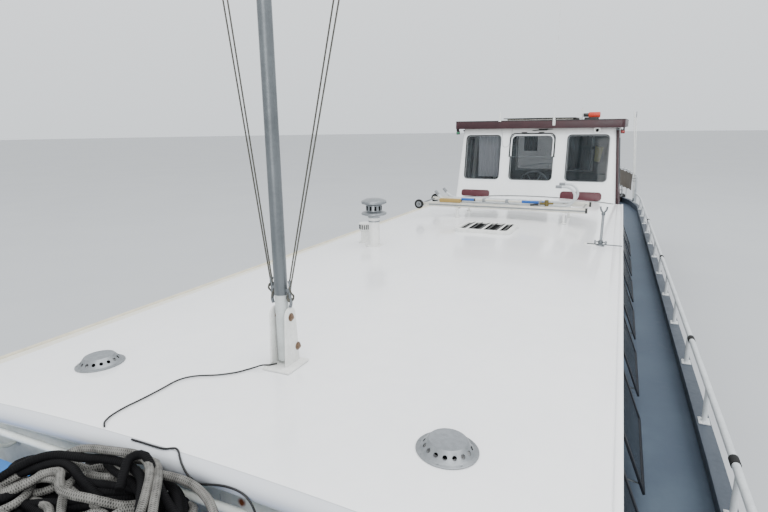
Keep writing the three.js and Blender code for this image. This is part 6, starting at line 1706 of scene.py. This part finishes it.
def makeLining(aft, board, gap, ceiling, sides, back):
    piece = Piece("houseLining", finish="panelDark")
    half = lambda z: house["half"] - house["tumble"] * (z - house["foot"]) - gap
    for side in (1, -1):
        for x0, x1, z0, z1 in sides:
            thick = board
            section = [(x0, side * half(z0), z0), (x0, side * half(z1), z1),
                (x0, side * (half(z1) - thick), z1), (x0, side * (half(z0) - thick), z0)]
            piece.take(swept(section, (x1 - x0, 0, 0)))
    for y0, y1, z0, z1 in back:
        piece.take(boxed((-5.1285, y0, z0), (-5.1225, y1, z1)))
    piece.take(boxed((aft, -1.165, ceiling), (-2.87, 1.165, ceiling + 0.006)))
    piece.done("mahogany")


makeLining(**inside)

curtains = {  # rail's place, width, drop, folds, depth of fold, cloth
    "curtainFront": (-2.892, -0.985, -0.60, 3.60, 0.72, 7, 0.016, "clothPale"),
    "curtainBackMaroon": (-5.085, -0.60, -0.33, 3.575, 0.34, 5, 0.012, "clothMaroon"),
    "curtainBackDark": (-5.085, 0.30, 0.74, 3.575, 0.72, 8, 0.014, "clothDark")}


def makeCurtain(name, x, y0, y1, top, drop, folds, depth, cloth):
    def shape(s, t):
        fold = sin(2 * pi * folds * s + 0.5 * sin(3 * s + 2 * t)) * depth * (0.7 + 0.3 * t)
        return Vector((x + fold, y0 + (y1 - y0) * s, top - drop * t))

    rail = Piece(name + "Rail")
    rail.take(rod((x, y0 - 0.03, top + 0.006), (x, y1 + 0.03, top + 0.006), 0.006, sides=14, edge=0.002),
        "steelDark")
    for y in (y0 - 0.02, y1 + 0.02):
        rail.take(boxed((x - 0.004, y - 0.006, top + 0.004), (x + 0.004, y + 0.006, inside["ceiling"] - 0.0005),
            0.001), "steelDark")
    hung = rail.done("stainless")
    clothPiece(name, folds * 14, 10, shape, cloth, "vinyl")


for name, values in curtains.items():
    makeCurtain(name, *values)


def makeWallCloths():
    yellow = lambda s, t: Vector((-5.116 + 0.006 * sin(5 * s + 2 * t), 0.80 + 0.15 * s * (1 - 0.35 * t),
        3.33 - 0.29 * t - 0.03 * s))
    maroon = lambda s, t: Vector((-5.117 + 0.005 * sin(4 * s + 3 * t), 0.955 + 0.16 * s, 3.24 - 0.20 * t))
    clothPiece("wallClothYellow", 8, 12, yellow, "clothYellow", "vinyl")
    clothPiece("wallClothMaroon", 8, 10, maroon, "clothMaroon", "vinyl")
    valance = lambda s, t: Vector((-5.055, 0.50 + 0.29 * s, 3.325 - (0.02 + 0.035 * abs(sin(pi * 5 * s))) * t))
    clothPiece("valance", 60, 2, valance, "clothBlack", "vinyl")


makeWallCloths()

helm = {"x": -4.15, "y": 0.85, "floor": 1.7962, "seat": ((-4.38, 0.61, 2.272), (-3.92, 1.09, 2.37)),
    "back": ((-4.45, 0.62, 2.385), (-4.366, 1.08, 2.86)), "channel": 0.33}


def crowned(u, v, w, crown, channel):
    size = (abs(u) ** 7 + abs(v) ** 7 + abs(w) ** 7) ** (1 / 7)
    u, v, w = u / size, v / size, w / size
    full = (1 - u * u) * (1 - v * v)
    w *= 1 - crown + crown * full ** 0.6
    if w > 0:
        for line in (-channel, channel):
            w -= 0.16 * exp(-((v - line) / 0.035) ** 2) * full ** 0.3
    return u * (1 - 0.035 * (1 - v * v)), v * (1 - 0.03 * (1 - u * u)), w


def makeCushion(name, low, high, thin, replaces):  # thin is the axis through the pad
    low, high = Vector(low), Vector(high)
    half, centre = (high - low) / 2, (high + low) / 2
    order = {"z": (0, 1, 2), "x": (2, 1, 0)}[thin]

    def seated(u, v, w):
        spot = [0, 0, 0]
        for axis, value in zip(order, (u, v, w)):
            spot[axis] = centre[axis] + half[axis] * value
        return Vector(spot)

    part = bmesh.new()
    bmesh.ops.create_cube(part, size=2)
    bmesh.ops.subdivide_edges(part, edges=part.edges[:], cuts=35, use_grid_fill=True)
    for vert in part.verts:
        vert.co = seated(*crowned(*vert.co, 0.3, helm["channel"]))
    piece = Piece(name).take(part, "vinyl")
    rim = []
    for turn in around(96):
        u, v = cos(turn), sin(turn)
        share = max(abs(u), abs(v))
        rim.append(seated(*crowned(u / share * 0.995, v / share * 0.995, 0.42, 0.3, 9)))
    piece.take(pipe(rim, 0.0035, 8, closed=True), "welt")
    piece.done("vinyl", replaces, 60)


makeCushion("helmCushion", *helm["seat"], "z", ["helm_seat"])
makeCushion("helmBack", *helm["back"], "x", [])


def makeHelm(size):
    x, y, floor = size["x"], size["y"], size["floor"]
    post = Piece("helmPost", finish="steelDark")
    post.take(turned([(0, 0), (0.19, 0), (0.19, 0.007), (0.18, 0.013), (0.065, 0.019), (0.05, 0.03),
        (0.044, 0.05), (0.044, 0.25), (0.04, 0.256), (0.030, 0.258), (0.030, 0.45), (0, 0.45)], (x, y, floor),
        steps=48))
    post.take(boxed((x - 0.17, y - 0.15, floor + 0.445), (x + 0.17, y + 0.15, floor + 0.472), 0.006))
    for side in (-1, 1):
        run = [(x - 0.12, y + side * 0.11, floor + 0.455), (x - 0.235, y + side * 0.11, floor + 0.46),
            (x - 0.262, y + side * 0.11, floor + 0.50), (x - 0.2985, y + side * 0.11, floor + 0.66),
            (x - 0.2985, y + side * 0.11, floor + 0.9)]
        post.take(pipe(smoothed(run, 5), 0.009, 14))
    post.done("stainless")
    wheel = Piece("steeringWheel", "steering_wheel", finish="steelFlat")
    hubX, hubY, hubZ, radius = -3.20, -0.06, 2.705, 0.255
    ring = [(hubX, hubY + radius * cos(a), hubZ + radius * sin(a)) for a in around(72)]
    wheel.take(pipe(ring, 0.015, 16, closed=True))
    wheel.take(turned([(0, -0.025), (0.030, -0.025), (0.044, -0.014), (0.048, 0), (0.048, 0.0075), (0, 0.0075)],
        (hubX, hubY, hubZ), (1, 0, 0), 36))
    for k in range(6):
        turn = pi * k / 3
        aim = Vector((0, cos(turn), sin(turn)))
        hub = Vector((hubX - 0.008, hubY, hubZ))
        wheel.take(rod(hub + aim * 0.04, hub + aim * 0.246 + Vector((0.008, 0, 0)), 0.0095, 0.0075, sides=14))
    wheel.done("stainless", ["steering_wheel"])
    desk = Piece("helmInstruments", finish="blackPaint")
    slope = Matrix.Translation((-2.97, 0, 2.6245)) @ Matrix.Rotation(radians(-28.4), 4, "Y")
    for y in (-0.66, -0.50, -0.34, 0.20, 0.36, 0.52):
        seat = slope @ Matrix.Translation((0, y, 0.0))
        desk.take(turned([(0, 0), (0.054, 0), (0.054, 0.006), (0.046, 0.010), (0.046, 0.006), (0, 0.006)],
            steps=36), "steelDark", seat)
        desk.take(turned([(0, 0.005), (0.0455, 0.005), (0.0455, 0.0065), (0, 0.0068)], steps=36), "dialWhite",
            seat)
        desk.take(boxed((-0.003, -0.002, 0.0068), (0.034, 0.002, 0.0082), 0.0005),
            turn=seat @ Matrix.Rotation(y * 3, 4, "Z"))
    desk.take(turned([(0, 0), (0.075, 0), (0.075, 0.02), (0.055, 0.03), (0.055, 0.05), (0, 0.05)],
        (-2.79, -0.30, 2.6903), steps=40))
    desk.take(turned([(0, 0), (0.052, 0), (0.048, 0.022), (0.034, 0.041), (0.016, 0.05), (0, 0.052)],
        (-2.79, -0.30, 2.740), steps=40), "dialWhite")
    desk.take(boxed((-2.86, 0.30, 2.6903), (-2.76, 0.44, 2.755), 0.008))
    desk.take(rod((-2.81, 0.34, 2.75), (-2.86, 0.34, 2.86), 0.006, sides=14), "steel")
    desk.take(turned([(0, -0.02), (0.014, -0.016), (0.018, 0), (0.014, 0.016), (0, 0.02)],
        (-2.862, 0.34, 2.865), steps=20))
    desk.done("black_paint")


makeHelm(helm)
print("stage: wheelhouse inside fitted")

# Floor at the waterline, backdrop and soft light
stageSet = {"waterline": 0.80, "reach": 260.0, "floorColour": "b9bcbe", "floorWorn": "b0b3b6",
    "zenith": "f7f9fb", "horizon": "d3d8dc", "skyStrength": 1.75, "lamps": {"overLamp": (5200.0, 26.0,
    (6.0, 9.0, 22.0)), "foreLamp": (3800.0, 16.0, (32.0, 7.0, 8.0))}}


def makeStage(setting):
    bm = bmesh.new()
    bmesh.ops.create_circle(bm, cap_ends=True, segments=64, radius=setting["reach"])
    bmesh.ops.translate(bm, vec=(0, 0, setting["waterline"]), verts=bm.verts)
    floor = linked("floor", meshOf("floor", bm))
    finish = Finish("floorPale", specular=0.2)
    finish.feed("Base Color", finish.mix(finish.noise(0.4), rgb(setting["floorColour"]),
        rgb(setting["floorWorn"])))
    finish.feed("Roughness", 0.7 + finish.noise(2.0) * 0.15)
    floor.data.materials.append(finish.material)
    world = bpy.data.worlds.new("studio")
    world.use_nodes = True
    tree = world.node_tree
    backdrop = tree.nodes["Background"]
    spots = tree.nodes.new("ShaderNodeTexCoord")
    parts = tree.nodes.new("ShaderNodeSeparateXYZ")
    ramp = tree.nodes.new("ShaderNodeValToRGB")
    tree.links.new(spots.outputs["Generated"], parts.inputs[0])
    tree.links.new(parts.outputs["Z"], ramp.inputs[0])
    tree.links.new(ramp.outputs[0], backdrop.inputs["Color"])
    for stop, (place, colour) in zip(ramp.color_ramp.elements, ((0.0, "horizon"), (0.6, "zenith"))):
        stop.position, stop.color = place, (*rgb(setting[colour]), 1)
    backdrop.inputs["Strength"].default_value = setting["skyStrength"]
    bpy.context.scene.world = world
    for name, (energy, size, place) in setting["lamps"].items():
        lamp = linked(name, bpy.data.lights.new(name, "AREA"))
        lamp.data.energy, lamp.data.size, lamp.location = energy, size, place
        lamp.rotation_euler = (-lamp.location).to_track_quat("-Z", "Y").to_euler()


makeStage(stageSet)
print("stage: floor and light set")
